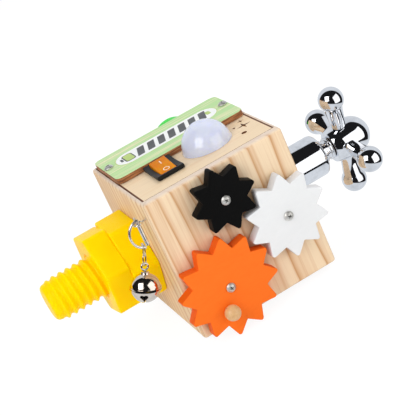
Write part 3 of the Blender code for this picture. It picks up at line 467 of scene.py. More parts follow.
class Recipe(Nodes):
    """One material's nodes, added as a finish is mixed."""

    def __init__(self, name: str) -> None:
        """Starts an empty Principled material."""
        self.material = bpy.data.materials.new(name)
        self.material.use_nodes = True
        super().__init__(self.material.node_tree)
        self.shader = self.tree.nodes["Principled BSDF"]

    def set(self, **values: Any) -> "Recipe":
        """Sets the shader's own sockets, named in lower case with underscores."""
        for name, value in values.items():
            self.shader.inputs[name.replace("_", " ").title().replace("Ior", "IOR")].default_value = value
        return self

    def paint(self, out: Any, socket: str = "Base Color") -> "Recipe":
        """Joins an output to one of the shader's inputs."""
        self.link(out, self.shader.inputs[socket])
        return self

    def place(self) -> Any:
        """Gives object coordinates."""
        return self.add("ShaderNodeTexCoord").outputs["Object"]

    def places(self, scale: Triple, centre: Triple = ORIGIN) -> Any:
        """Gives object coordinates about a centre, scaled."""
        shift = [-c * s for c, s in zip(centre, scale)]
        inputs = {"Vector": self.place(), "Location": shift, "Scale": scale}
        return self.add("ShaderNodeMapping", inputs, vector_type="POINT").outputs["Vector"]

    def distance(self, places: Any) -> Any:
        """Gives how far places are from the origin."""
        return self.add("ShaderNodeVectorMath", {0: places}, operation="LENGTH").outputs["Value"]

    def noise(self, scale: Triple | float, detail: float = 3.0, roughness: float = 0.55,
              distortion: float = 0.0, centre: Triple = ORIGIN) -> Any:
        """Adds a noise over object coordinates and gives its value.

        Args:
            scale: How many times it changes in a metre, along each axis or along all three.
            detail: How many finer layers it has.
            roughness: How strong they are.
            distortion: How far it is warped.
            centre: The place that it starts from.

        Returns:
            The noise's value.
        """
        stretch = scale if isinstance(scale, tuple) else (scale,) * 3
        inputs = {"Vector": self.places(stretch, centre), "Scale": 1.0, "Detail": detail,
                  "Roughness": roughness, "Distortion": distortion}
        return self.add("ShaderNodeTexNoise", inputs).outputs["Fac"]

    def rings(self, heart: Triple, spacing: float, waver: float) -> Any:
        """Adds growth rings about an upright axis, and gives how far through its ring a place is."""
        radius = self.distance(self.places((1 / spacing, 1 / spacing, 0.0), heart))
        slow = self.noise((34.0, 34.0, 6.0), 1.0, centre=heart)
        quick = self.noise((170.0, 170.0, 17.0), 2.0, centre=heart)
        drift = self.maths("ADD", self.maths("MULTIPLY", slow, waver), self.maths("MULTIPLY", quick, 0.22))
        return self.maths("FRACT", self.maths("ADD", radius, drift))

    def ramp(self, value: Any, stops: Sequence[tuple[float, Sequence[float]]]) -> Any:
        """Adds a colour ramp over a value."""
        node = self.add("ShaderNodeValToRGB", {"Fac": value})
        elements = node.color_ramp.elements
        for index, (at, colour) in enumerate(stops):
            stop = elements[index] if index < 2 else elements.new(at)
            stop.position = at
            stop.color = colour
        return node.outputs["Color"]

    def normal_axis(self, axis: str) -> Any:
        """Gives how far the surface faces along one axis, less than nothing when it faces against it."""
        return self.part(self.add("ShaderNodeNewGeometry").outputs["Normal"], axis)

    def normal_part(self, axis: str) -> Any:
        """Gives how far the surface faces along one axis, either way."""
        return self.maths("ABSOLUTE", self.normal_axis(axis))

    def bump(self, height: Any, distance: float, strength: float) -> "Recipe":
        """Raises the surface by a height, at most distance."""
        inputs = {"Strength": strength, "Distance": distance, "Height": height}
        return self.paint(self.add("ShaderNodeBump", inputs).outputs["Normal"], "Normal")


@dataclass(frozen=True)
class PineFinish:
    """Sanded pine with upright grain, its rings about a heart outside the board."""

    name: str
    heart: Triple
    spacing: float = 6.0 * MM
    waver: float = 2.2
    early: Triple = (245, 219, 184)
    late: Triple = (206, 150, 96)
    end: Triple = (226, 210, 196)

    def material(self) -> bpy.types.Material:
        """Mixes the pine."""
        recipe = Recipe(self.name).set(roughness=0.55, specular_ior_level=0.25)
        early, late = linear(*self.early), linear(*self.late)
        half, most = (tuple(e + (l - e) * share for e, l in zip(early, late)) for share in (0.3, 0.75))
        tone = recipe.ramp(recipe.rings(self.heart, self.spacing, self.waver), [
            (0.0, early), (0.5, early), (0.72, half), (0.84, most), (0.88, late), (0.93, half), (1.0, early)])
        broad = recipe.noise((110.0, 110.0, 4.0), 1.0)
        tone = recipe.over(tone, half, broad, 0.75, 0.45, 0.62)
        streaks = recipe.noise((520.0, 520.0, 6.0), 2.0)
        tone = recipe.over(tone, most, streaks, 0.55, 0.52, 0.72)
        fibre = recipe.noise((1500.0, 1500.0, 45.0), 4.0, 0.6)
        tone = recipe.over(tone, late, fibre, 0.2, 0.5, 0.75)
        recipe.paint(recipe.over(tone, linear(*self.end), recipe.normal_part("Z"), 0.8, 0.6, 0.8))
        recipe.paint(recipe.scale(fibre, 0.48, 0.66), "Roughness")
        return recipe.bump(fibre, 0.05 * MM, 0.35).material


@dataclass(frozen=True)
class PlywoodFinish:
    """Sanded plywood with its grain along X, its cut faces burnt brown by the laser."""

    name: str
    face: Triple
    streak: Triple
    top: float
    burn: Triple = (150, 98, 58)
    char: Triple = (88, 50, 28)
    streaks: float = 0.5
    edge: float = 1.0
    fineness: float = 260.0

    def material(self) -> bpy.types.Material:
        """Mixes the plywood."""
        recipe = Recipe(self.name).set(roughness=0.55, specular_ior_level=0.35)
        burn, char = linear(*self.burn), linear(*self.char)
        bands = recipe.noise((14.0, self.fineness, 20.0), 3.0, 0.6, 0.4)
        tone = recipe.over(linear(*self.face), linear(*self.streak), bands, self.streaks, 0.5, 0.66)
        fibre = recipe.noise((60.0, 1700.0, 60.0), 4.0, 0.6)
        darker = linear(*(value * 0.86 for value in self.face))
        tone = recipe.over(tone, darker, fibre, 0.45, 0.52, 0.75)
        across, along, height = (recipe.part(recipe.place(), axis) for axis in "XYZ")
        sunk = recipe.scale(height, 1.0, 0.0, self.top - 0.3 * MM, self.top - 0.05 * MM)
        tone = recipe.mix(sunk, tone, recipe.over(linear(178, 130, 88), burn, fibre, 0.5))
        reach = recipe.maths("MAXIMUM", recipe.maths("ABSOLUTE", across), recipe.maths("ABSOLUTE", along))
        tone = recipe.over(tone, linear(104, 56, 30), reach, 1.0, self.edge - 0.85 * MM, self.edge - 0.6 * MM)
        plies = recipe.noise((90.0, 90.0, 1400.0), 2.0)
        upright = recipe.scale(recipe.normal_part("Z"), 1.0, 0.0, 0.3, 0.6)
        recipe.paint(recipe.mix(upright, tone, recipe.over(burn, char, plies, 1.0, 0.35, 0.65)))
        recipe.paint(recipe.scale(fibre, 0.48, 0.66), "Roughness")
        return recipe.bump(fibre, 0.04 * MM, 0.3).material


@dataclass(frozen=True)
class TurnedWoodFinish:
    """Lacquered beech with short dark flecks."""

    name: str = "beech knob"

    def material(self) -> bpy.types.Material:
        """Mixes the beech."""
        recipe = Recipe(self.name).set(coat_weight=0.25, coat_roughness=0.25)
        bands = recipe.noise((420.0, 60.0, 420.0), 3.0, 0.6)
        tone = recipe.ramp(bands, [(0.3, linear(232, 190, 136)), (0.7, linear(216, 168, 112))])
        flecks = recipe.noise((2600.0, 500.0, 2600.0), 2.0)
        recipe.paint(recipe.over(tone, linear(140, 92, 50), flecks, 0.5, 0.58, 0.75))
        recipe.paint(recipe.scale(bands, 0.32, 0.46), "Roughness")
        return recipe.bump(flecks, 0.03 * MM, 0.3).material


@dataclass(frozen=True)
class PaintFinish:
    """Paint on wood: nearly flat, with a faint brushed grain, and painted shade on the faces that face
    neither front nor back.
    """

    name: str
    colour: Triple
    shade: Triple
    rough: float = 0.5
    gloss: float = 0.3

    def material(self) -> bpy.types.Material:
        """Mixes the paint."""
        recipe = Recipe(self.name).set(specular_ior_level=self.gloss)
        shade = linear(*self.shade)
        grain = recipe.noise((260.0, 260.0, 900.0), 4.0, 0.6)
        tone = recipe.over(linear(*self.colour), shade, grain, 0.15, 0.4, 0.8)
        # Painted shade: faces that face neither front nor back lean toward the shade colour, by their facing
        # alone.
        sides = recipe.scale(recipe.normal_part("Y"), 0.75, 0.0, 0.35, 0.85)
        recipe.paint(recipe.mix(sides, tone, shade))
        recipe.paint(recipe.scale(grain, self.rough - 0.06, self.rough + 0.06), "Roughness")
        return recipe.bump(recipe.noise(1500.0, 2.0), 0.02 * MM, 0.25).material


@dataclass(frozen=True)
class PlasticFinish:
    """Moulded plastic, with a slight change of tone and a fine moulded surface, and, where set, a painted
    glow.
    """

    name: str
    colour: Triple
    shade: Triple
    rough: float = 0.35
    grain: float = 1800.0
    relief: float = 0.01 * MM
    glow: float = 0.0
    glow_reach: float = 2 * MM
    coat: float = 0.0
    through: float = 0.0
    gloss: float = 0.5
    polish: float = 0.12
    coat_ior: float = 1.5
    inner: float = 0.0

    def material(self) -> bpy.types.Material:
        """Mixes the plastic."""
        recipe = Recipe(self.name).set(
            specular_ior_level=self.gloss, coat_weight=self.coat, coat_roughness=self.polish,
            coat_ior=self.coat_ior, subsurface_weight=self.glow, transmission_weight=self.through)
        colour = linear(*self.colour)
        if self.glow:
            reach = [value ** 2 for value in colour[:3]]
            recipe.set(subsurface_radius=reach, subsurface_scale=self.glow_reach)
        # Painted glow: inner sets an emission in the plastic's own colour, which lifts its shaded parts
        # though nothing lights it from within.
        if self.inner:
            recipe.set(emission_color=colour, emission_strength=self.inner)
        recipe.paint(recipe.over(colour, linear(*self.shade), recipe.noise(70.0, 2.0), 0.6, 0.35, 0.75))
        fine = recipe.noise(self.grain, 2.0)
        recipe.paint(recipe.scale(fine, self.rough - 0.05, self.rough + 0.05, 0.3, 0.7), "Roughness")
        return recipe.bump(fine, self.relief, 0.4).material


@dataclass(frozen=True)
class MetalFinish:
    """Plated or brushed metal, with faint smears that dull it here and there, and, where each is set, painted
    shade inside a hollow, on the faces turned towards +X, and in a screw's cross.
    """

    name: str
    colour: Triple
    shine: float = 0.04
    dull: float = 0.1
    smears: float = 160.0
    scratches: float = 0.0
    painted_shade_centre: Triple | None = None
    painted_shade_reach: float = 7.2 * MM
    painted_shade_recess: bool = False
    painted_dark_side: bool = False

    def material(self) -> bpy.types.Material:
        """Mixes the metal."""
        recipe = Recipe(self.name).set(metallic=1.0)
        smear = recipe.noise(self.smears)
        dimmer = linear(*(value * 0.9 for value in self.colour))
        tone = recipe.over(linear(*self.colour), dimmer, smear, 1.0, 0.4, 0.75)
        # Painted shade: every surface within its reach of the hollow's centre turns nearly black.
        if self.painted_shade_centre:
            depth = recipe.distance(recipe.places((1.0, 1.0, 1.0), self.painted_shade_centre))
            inside = recipe.scale(depth, 1.0, 0.0, self.painted_shade_reach - 0.1 * MM, self.painted_shade_reach + 0.1 * MM)
            tone = recipe.mix(inside, tone, linear(12, 10, 9))
        # Painted shade: faces turned towards +X are painted dark brown, standing in for shadow and dark
        # reflection.
        if self.painted_dark_side:
            tone = recipe.over(tone, linear(74, 44, 28), recipe.normal_axis("X"), 1.0, 0.36, 0.41)
        # Painted shade: the faces marked in a screw's cross are painted dark.
        if self.painted_shade_recess:
            sunk = recipe.add("ShaderNodeAttribute", attribute_name="painted_shade_recess")
            tone = recipe.mix(sunk.outputs["Fac"], tone, linear(44, 40, 36))
        recipe.paint(tone)
        recipe.paint(recipe.scale(smear, self.shine, self.dull, 0.45, 0.8), "Roughness")
        if self.scratches:
            recipe.bump(recipe.noise((self.scratches, 200.0, 200.0)), 0.01 * MM, 0.4)
        return recipe.material


@dataclass(frozen=True)
class BoardFinish:
    """Green circuit board lacquer over copper tracks."""

    name: str = "circuit board"

    def material(self) -> bpy.types.Material:
        """Mixes the board's lacquer."""
        recipe = Recipe(self.name).set(roughness=0.35)
        inputs = {"Vector": recipe.places((420.0, 420.0, 420.0)), "Scale": 1.0}
        tracks = recipe.add("ShaderNodeTexVoronoi", inputs, feature="DISTANCE_TO_EDGE")
        stops = [(0.05, linear(38, 120, 62)), (0.12, linear(12, 72, 36))]
        return recipe.paint(recipe.ramp(tracks.outputs["Distance"], stops)).material


FINISHES = (
    PineFinish("pine front", (64 * MM, 30 * MM, 0.0)),
    PineFinish("pine right", (-20 * MM, 68 * MM, 0.0)),
    PineFinish("pine back", (-74 * MM, -24 * MM, 0.0)),
    PineFinish("pine left", (20 * MM, -84 * MM, 0.0), 4.6 * MM),
    PlywoodFinish("plywood top", (238, 214, 180), (229, 196, 154), 80 * MM, edge=37.9 * MM),
    PlywoodFinish("plywood base", (232, 204, 162), (222, 186, 138), 10 * MM),
    PlywoodFinish("green print", (186, 222, 158), (234, 228, 190), 83.3 * MM, (196, 132, 82), (112, 64, 34),
                  1.0, fineness=620.0),
    PlasticFinish("print white", (246, 247, 246), (236, 240, 236), 0.5),
    PlasticFinish("print grey", (74, 76, 78), (100, 102, 104), 0.5),
    PlasticFinish("print green", (190, 212, 124), (170, 198, 108), 0.5),
    PlasticFinish("black plastic", (26, 27, 28), (20, 21, 22), 0.42, 2600.0, 0.03 * MM, gloss=0.2),
    PlasticFinish("amber plastic", (224, 138, 0), (196, 94, 0), 0.2, glow=0.2, glow_reach=2 * MM, gloss=0.08),
    PlasticFinish("mark paint", (250, 236, 214), (242, 222, 190), 0.45),
    # The frosted dome carries a faint painted glow (inner).
    PlasticFinish("frosted plastic", (214, 219, 255), (210, 215, 254), 0.3, 2400.0, 0.002 * MM, 0.5, 6 * MM,
                  1.0, gloss=0.2, polish=0.05, coat_ior=1.6, inner=0.03),
    # The yellow plastic carries a painted glow (inner) that lifts its shaded facets.
    PlasticFinish("yellow plastic", (255, 212, 0), (255, 202, 0), 0.3, glow=0.5, glow_reach=8 * MM,
                  gloss=0.05, inner=0.12),
    PlasticFinish("green plastic", (30, 224, 52), (24, 206, 44), 0.3, glow=0.3, glow_reach=3 * MM, gloss=0.2),
    PaintFinish("orange paint", (255, 118, 32), (236, 88, 8), gloss=0.12),
    PaintFinish("white paint", (235, 236, 236), (222, 222, 224)),
    PaintFinish("black paint", (12, 12, 12), (20, 19, 18), 0.5, 0.06),
    TurnedWoodFinish(),
    MetalFinish("chrome", (236, 238, 242)),
    MetalFinish("nickel", (222, 218, 210), 0.08, 0.16, 300.0),
    MetalFinish("clasp nickel", (238, 234, 228), 0.2, 0.28, 300.0),
    # The lever's faces towards +X take painted shade.
    MetalFinish("lever nickel painted dark side", (238, 234, 228), 0.2, 0.28, 300.0, painted_dark_side=True),
    # The bell's inside takes painted shade, nearly black.
    MetalFinish("bell nickel painted dark inside", (232, 220, 208), 0.08, 0.16, 300.0,
                painted_shade_centre=(-54.704 * MM, -33.6 * MM, 39.022 * MM)),
    # The screws' crosses take painted shade.
    MetalFinish("screw steel", (240, 238, 232), 0.5, 0.6, 900.0, 2400.0, painted_shade_recess=True),
    MetalFinish("dull iron", (58, 54, 50), 0.5, 0.6),
    BoardFinish(),
    PlasticFinish("clear epoxy", (240, 242, 250), (230, 234, 246), 0.1, through=0.8),
    PlasticFinish("battery black", (38, 38, 40), (28, 28, 30), 0.5),
    MetalFinish("cell label", (196, 148, 70), 0.3, 0.4),
    PlasticFinish("red lead", (196, 30, 30), (176, 20, 20), 0.4),
    PlasticFinish("black lead", (34, 34, 36), (24, 24, 26), 0.4),
)


class Paintbox:
    """Every finish of the object, mixed once."""

    def __init__(self) -> None:
        """Mixes all the materials."""
        self.materials = {finish.name: finish.material() for finish in FINISHES}

    def __getitem__(self, name: str) -> bpy.types.Material:
        """Gives the material of a finish."""
        return self.materials[name]


@dataclass
class Assembly:
    """Pieces that belong together, with the finishes that they take."""

    paints: Paintbox

    def dress(self, finish: str, *nodes: str) -> None:
        """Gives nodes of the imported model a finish."""
        for node in nodes:
            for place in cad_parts[node].material_slots:
                place.material = self.paints[finish]
            log.info("%s: dressed in %s", node, finish)


@dataclass
class CrossScrew(Assembly):
    """Cross-head wood screws, modelled once each way and copied to where they are driven."""

    head: float = 2.5 * MM
    height: float = 1.6 * MM
    rim: float = 0.35 * MM
    flush_head: float = 2.0 * MM
    shank: float = 1.3 * MM
    length: float = 3 * MM
    cross: float = 1.6 * MM
    flush_cross: float = 1.0 * MM
    slot_width: float = 0.75 * MM
    slot_depth: float = 0.9 * MM
    plate_seat: float = 83.6 * MM
    gear_seat: float = -48.3 * MM
    base_place: Pair = (22 * MM, 34.5 * MM)

    def painted_shade_recess(self, screw: Piece, top: float, reach: float) -> Piece:
        """Cuts the cross into a head whose top is at a height, and marks the cross's lower faces for painted
        shade.
        """
        for turn in range(2):
            half = (reach, self.slot_width / 2) if turn else (self.slot_width / 2, reach)
            cutter = Piece.block("cross", (-half[0], -half[1], top - self.slot_depth),
                                 (half[0], half[1], top + self.head))
            cutter.edit().points(lambda p: p.z < top - 0.1 * MM)
            cutter.resize((0.55, 0.55, 1.0)).close()
            screw.cut(cutter)
        # Marks the lower faces of the cross, which the steel paints dark as painted shade.
        mesh = screw.obj.data
        mark = mesh.attributes.new("painted_shade_recess", "FLOAT", "FACE")
        for face, value in zip(mesh.polygons, mark.data):
            sunk = top - face.center.z > self.slot_depth / 2 and face.center.xy.length < reach
            value.value = 1.0 if sunk and face.center.z > top - self.slot_depth * 1.1 else 0.0
        return screw

    def pan(self) -> Piece:
        """Turns a screw with a domed head, its seat on the XY plane."""
        rise = self.height - self.rim
        radius = (self.head ** 2 + rise ** 2) / (2 * rise)
        dome = ball(radius, 0.0, math.asin(self.head / radius), 8, self.height - radius)
        profile = [*dome, (self.head, 0.0), (self.shank, 0.0), (self.shank, -self.length),
                   (0.0, -self.length)]
        return self.painted_shade_recess(Piece.turned("pan_screw", profile, 40), self.height, self.cross)

    def flush(self) -> Piece:
        """Turns a screw with a flat countersunk head, its top on the XY plane."""
        profile = [(0.0, 0.0), (self.flush_head, 0.0), (self.shank, self.shank - self.flush_head),
                   (self.shank, -self.length), (0.0, -self.length)]
        return self.painted_shade_recess(Piece.turned("flush_screw", profile, 40), 0.0, self.flush_cross)

    def drive(self, pattern: Piece, node: str, turn: Stand, place: Triple, twist: float) -> None:
        """Sets a copy of a screw where a node stands, its cross at its own angle."""
        screw = pattern.copied(node + "_head").spun(twist).stand(turn, place)
        screw.finished(self.paints["screw steel"], "screw_steel", "block", [node])

    def build(self) -> None:
        """Drives every screw whose head shows."""
        pan, flush = self.pan(), self.flush()
        for name, x, twist in (("left", -35 * MM, 0.5), ("right", 35 * MM, 1.1)):
            self.drive(pan, "plate_screw_" + name, Stand.UP, (x, 19.4 * MM, self.plate_seat), twist)
        for name, x, z, twist in (("orange", -18.9 * MM, 22.2 * MM, 0.3),
                                  ("white", 23.2 * MM, 39.9 * MM, 0.95),
                                  ("black", -3.0 * MM, 64.4 * MM, 0.7)):
            self.drive(pan, "gear_%s_screw" % name, Stand.FRONT, (x, self.gear_seat, z), twist)
        for row, y in (("front", -self.base_place[1]), ("back", self.base_place[1])):
            for side, x in (("left", -self.base_place[0]), ("right", self.base_place[0])):
                self.drive(flush, "base_screw_%s_%s" % (row, side), Stand.DOWN, (x, y, 0.0), x * 30 + y * 9)
        pan.discard()
        flush.discard()


@dataclass
class Block(Assembly):
    """The pine walls and the plywood panels let into them."""

    def build(self) -> None:
        """Dresses the walls and panels."""
        for side in ("front", "right", "back", "left"):
            self.dress("pine " + side, side + "_wall")
        self.dress("plywood top", "top_panel")
        self.dress("plywood base", "base_panel")


@dataclass
class NamePlate(Assembly):
    """The green plate with its printed label: a generic cell and a row of slanted bars."""

    top: float = 83.3 * MM
    film: float = 0.06 * MM
    middle: Pair = (0.0, 19.4 * MM)
    pill: Pair = (60.5 * MM, 16.5 * MM)
    border: float = 0.9 * MM
    cell: Pair = (6.0 * MM, 10.6 * MM)
    cell_inset: float = 7.2 * MM
    cell_edge: float = 1.3 * MM
    nub: Pair = (1.4 * MM, 4.2 * MM)
    nub_reach: float = 1.1 * MM
    leaf: Pair = (2.6 * MM, 5.2 * MM)
    leaf_inset: float = 4.6 * MM
    bars: int = 7
    bar: Pair = (4.1 * MM, 11.4 * MM)
    bar_start: float = 4.4 * MM
    pitch: float = 6.3 * MM
    slant: float = 3.2 * MM

    def patch(self, name: str, size: Pair) -> Piece:
        """Starts a patch as thick as the print, about the origin."""
        half = (size[0] / 2, size[1] / 2)
        return Piece.block(name, (-half[0], -half[1], 0.0), (half[0], half[1], self.film))

    def lay(self, patch: Piece, finish: str, place: Pair, layer: int) -> None:
        """Lays a patch on the plate as one layer of its print."""
        patch.stand(Stand.UP, (place[0], place[1], self.top + (layer - 1) * self.film + HAIR))
        patch.finished(self.paints[finish], "green_print", "block")

    def plaque(self, name: str, finish: str, size: Pair, place: Pair, corner: float, layer: int) -> None:
        """Prints a patch with round corners.

        Args:
            name: The patch's name.
            finish: Its finish.
            size: How wide and deep it is.
            place: Its middle.
            corner: How round its corners are.
            layer: Which layer of the print it is in, from 0.
        """
        patch = self.patch(name, size).edit().uprights(self.film / 2).round_edges(corner, 8).close()
        self.lay(patch, finish, place, layer)

    def build(self) -> None:
        """Dresses the plate and prints its label."""
        self.dress("green print", "name_plate")
        x, y = self.middle
        left = x - self.pill[0] / 2 + self.cell_inset
        right = x + self.pill[0] / 2 - self.leaf_inset
        outline = (self.pill[0] + self.border, self.pill[1] + self.border)
        fill = (self.cell[0] - self.cell_edge, self.cell[1] - self.cell_edge)
        self.plaque("label_outline", "print green", outline, self.middle, 8.2 * MM, 0)
        self.plaque("label_pill", "print white", self.pill, self.middle, 7.8 * MM, 1)
        self.plaque("label_cell_edge", "print grey", self.cell, (left, y), 1.8 * MM, 2)
        nub = left - self.cell[0] / 2 - self.nub_reach
        self.plaque("label_cell_nub", "print grey", self.nub, (nub, y), 0.5 * MM, 2)
        self.plaque("label_cell_fill", "print green", fill, (left, y), 1.3 * MM, 3)
        pattern = self.patch("label_bar", self.bar)
        pattern.edit().points(lambda p: p.y > 0).shift((self.slant / 2, 0.0, 0.0))
        pattern.points(lambda p: p.y < 0).shift((-self.slant / 2, 0.0, 0.0))
        pattern.uprights(self.film / 2).round_edges(0.5 * MM, 3).close()
        first = left + self.cell[0] / 2 + self.bar_start
        for index in range(self.bars):
            bar = pattern.copied("label_bar_%d" % (index + 1))
            self.lay(bar, "print grey", (first + index * self.pitch, y), 2)
        pattern.discard()
        self.plaque("label_leaf", "print green", self.leaf, (right, y), 1.2 * MM, 2)


@dataclass
class Switch(Assembly):
    """The rocker switch: its amber key with an I and an O, in the black housing."""

    pivot: Triple = (-16 * MM, -13 * MM, 79.5 * MM)
    tilt: float = math.radians(8.5)
    width: float = 9.0 * MM
    length: float = 16.4 * MM
    rise: float = 3.6 * MM
    dish: float = 0.35 * MM
    skirt: float = 1.5 * MM
    keel: float = 3 * MM
    pin: float = 1.0 * MM
    pin_length: float = 11.4 * MM
    line: Pair = (0.28 * MM, 1.5 * MM)
    line_place: Pair = (0.3 * MM, 3.9 * MM)
    ring: float = 1.75 * MM
    ring_width: float = 0.42 * MM
    ring_place: Pair = (0.0, -4.3 * MM)
    sink: float = 0.1 * MM

    def key(self) -> Piece:
        """Models the key: a box with a dished top, soft edges and its two pins."""
        half, end = self.width / 2, self.length / 2
        key = Piece.block("rocker_key", (-half, -end, -self.skirt), (half, end, self.rise))
        key.edit().faces(lambda c, n: True)
        bpy.ops.mesh.bisect(plane_co=(0, 0, 0), plane_no=(0, 1, 0))
        key.points(lambda p: abs(p.y) < self.sink and p.z > 0).shift((0.0, 0.0, -self.dish))
        key.points(lambda p: abs(p.y) < self.sink and p.z < 0).shift((0.0, 0.0, -self.keel))
        key.edges(lambda a, b: min(a.z, b.z) > self.rise / 2 and abs(a.y + b.y) > self.dish)
        key.round_edges(0.45 * MM, 4).merged().close()
        pins = Piece.rod("pins", self.pin, -self.pin_length / 2, self.pin_length / 2, 24)
        return key.join(pins.stand(Stand.RIGHT))

    def marks(self) -> list[Piece]:
        """Makes the I and the O, let a hair above the key's two slopes."""
        slope = math.atan2(self.dish, self.length / 2)
        height = self.rise - self.dish / 2
        wide, deep = self.line
        line = Piece.block("rocker_mark_on", (-wide, -deep, -self.sink), (wide, deep, self.sink / 2))
        line.edit().uprights(self.sink).round_edges(0.2 * MM, 3).close()
        line.stand((slope, 0.0, 0.0), (*self.line_place, height))
        ring = Piece.disc("rocker_mark_off", self.ring, 40).edit()
        ring.faces(lambda c, n: True)
        bpy.ops.mesh.inset(thickness=self.ring_width)
        bpy.ops.mesh.delete(type="FACE")
        ring.faces(lambda c, n: True).extrude((0.0, 0.0, 1.5 * self.sink)).merged().close()
        ring.stand((-slope, 0.0, 0.0), (*self.ring_place, height - self.sink))
        return [line, ring]

    def build(self) -> None:
        """Models the key and its marks, and dresses the rest of the switch."""
        self.dress("black plastic", "switch_housing")
        self.dress("nickel", "switch_terminal_front", "switch_terminal_back")
        turn = (self.tilt, 0.0, 0.0)
        key = self.key().stand(turn, self.pivot)
        key.finished(self.paints["amber plastic"], "amber_plastic", "rocker", ["rocker"])
        for mark in self.marks():
            mark.stand(turn, self.pivot).finished(self.paints["mark paint"], "white_paint", "rocker")


@dataclass
class Lamp(Assembly):
    """The frosted dome over its board and LED."""

    place: Triple = (10 * MM, -11.2 * MM, 80 * MM)
    radius: float = 13.2 * MM
    wall: float = 1.2 * MM
    flange: float = 2.2 * MM
    seat: float = -3.3 * MM
    bead: float = 0.45 * MM
    bead_height: Pair = (0.15 * MM, 0.05 * MM)

    def build(self) -> None:
        """Turns the dome and dresses what is under it."""
        inner, wide = self.radius - self.wall, self.radius + self.flange
        bead, (high, low) = self.radius + self.bead, self.bead_height
        foot = self.seat - self.wall
        rim = [(bead, high), (bead, low), (self.radius, low), (self.radius, self.seat), (wide, self.seat),
               (wide, foot), (inner, foot)]
        outside, inside = ball(self.radius, 0.0, QUARTER, 20)[:-1], ball(inner, QUARTER, 0.0, 20)
        dome = Piece.turned("lamp_shell", [*outside, *rim, *inside], 72).stand(Stand.UP, self.place)
        dome.finished(self.paints["frosted plastic"], "frosted_plastic", "block", ["lamp_dome"])
        self.dress("circuit board", "lamp_board")
        self.dress("clear epoxy", "led")


@dataclass
class Power(Assembly):
    """The cells, their box and contacts, and the leads inside the block."""

    def build(self) -> None:
        """Dresses the inner pieces."""
        self.dress("battery black", "battery_box")
        self.dress("cell label", "battery_cell_front", "battery_cell_back")
        self.dress("nickel", "battery_contact_left", "battery_contact_right")
        self.dress("red lead", "lead_box_to_switch", "lead_switch_to_lamp")
        self.dress("black lead", "lead_lamp_to_box")


@dataclass
class Gear:
    """One painted gear: a star with straight flanks and round tips, soft at its rims."""

    name: str
    teeth: int
    tip: float
    root: float
    place: Pair
    turn: float
    thickness: float = 6.6 * MM
    tooth_round: float = 1.3 * MM
    rim_round: float = 0.55 * MM
    front: float = -48 * MM

    def flank_angle(self) -> float:
        """Gives the angle between a tooth's flank and its middle line."""
        half = math.pi / self.teeth
        valley = Vector((self.root * math.cos(half), -self.root * math.sin(half)))
        flank = Vector((self.tip - self.tooth_round, 0.0)) - valley
        return math.atan2(flank.y, flank.x) - math.asin(self.tooth_round / flank.length)

    def meshed(self, name: str, teeth: int, tip: float, root: float, place: Pair) -> "Gear":
        """Gives a gear that is turned to mesh with this one.

        Args:
            name: The new gear's name.
            teeth: How many teeth it has.
            tip: How far its tips are from its axis.
            root: How far its valleys are.
            place: Where its axis is, across and up.

        Returns:
            The new gear.
        """
        line = math.atan2(place[1] - self.place[1], place[0] - self.place[0])
        lead = (self.turn - line) * self.teeth / teeth
        return Gear(name, teeth, tip, root, place, line + math.pi - lead + math.pi / teeth)

    def build(self, material: bpy.types.Material, slot: str, body: str) -> None:
        """Models the gear and sets it on its axis.

        Args:
            material: The gear's paint.
            slot: The record's slot of that paint.
            body: The body that the gear rides on.
        """
        step = math.tau / self.teeth
        slant = self.flank_angle()
        apex = self.tip - self.tooth_round + self.tooth_round / math.sin(slant)
        wheel = Piece.disc("wheel_" + self.name.split("_")[1], self.root, 2 * self.teeth).edit()

        def at_tip(spot: Vector) -> bool:
            """Whether a point of the disc becomes a tooth's tip."""
            share = math.atan2(spot.y, spot.x) / step
            return abs(share - round(share)) < 0.1

        wheel.points(at_tip).resize((apex / self.root, apex / self.root, 1.0))
        wheel.points(lambda p: p.length > self.root * 1.02)
        wheel.round_corners(self.tooth_round / math.tan(slant), 7)
        wheel.points(lambda p: p.length < self.root * 1.001).round_corners(0.35 * MM, 3)
        wheel.faces(lambda c, n: True).extrude((0.0, 0.0, -self.thickness))
        wheel.merged().edges(lambda a, b: abs(a.z - b.z) < HAIR).round_edges(self.rim_round, 4).close()
        wheel.spun(self.turn).stand(Stand.FRONT, (self.place[0], self.front, self.place[1]))
        wheel.finished(material, slot, body, [self.name])


@dataclass
class GearTrain(Assembly):
    """The three gears in mesh, their washers, and the ball knob on the orange one."""

    orange: Gear = field(default_factory=lambda: Gear(
        "gear_orange", 12, 26.2 * MM, 20.2 * MM, (-18.9 * MM, 22.2 * MM), math.radians(18.7)))
    knob_radius: float = 4.2 * MM
    knob_neck: float = 2.4 * MM
    knob_orbit: float = 12.1 * MM
    knob_turn: float = math.radians(-116)

    def knob(self) -> None:
        """Turns the ball knob, with a short neck."""
        stand = GAP + math.sqrt(self.knob_radius ** 2 - self.knob_neck ** 2)
        end = math.pi - math.asin(self.knob_neck / self.knob_radius)
        profile = [*ball(self.knob_radius, 0.0, end, 28, stand), (self.knob_neck, 0.0), (0.0, 0.0)]
        x, z = arc(self.knob_orbit, self.knob_turn, self.knob_turn, 1, self.orange.place)[0]
        knob = Piece.turned("ball_knob", profile, 48).stand(Stand.FRONT, (x, self.orange.front, z))
        knob.finished(self.paints["beech knob"], "beech", "orange_gear", ["gear_knob"])

    def build(self) -> None:
        """Models the gears, each turned to mesh with the one before it."""
        white = self.orange.meshed("gear_white", 10, 22.2 * MM, 16.4 * MM, (23.229 * MM, 39.909 * MM))
        black = white.meshed("gear_black", 8, 17.0 * MM, 11.8 * MM, (-3.026 * MM, 64.393 * MM))
        for gear, colour in ((self.orange, "orange"), (white, "white"), (black, "black")):
            gear.build(self.paints[colour + " paint"], colour + "_paint", colour + "_gear")
        self.knob()
        self.dress("nickel", "gear_orange_washer", "gear_white_washer", "gear_black_washer")


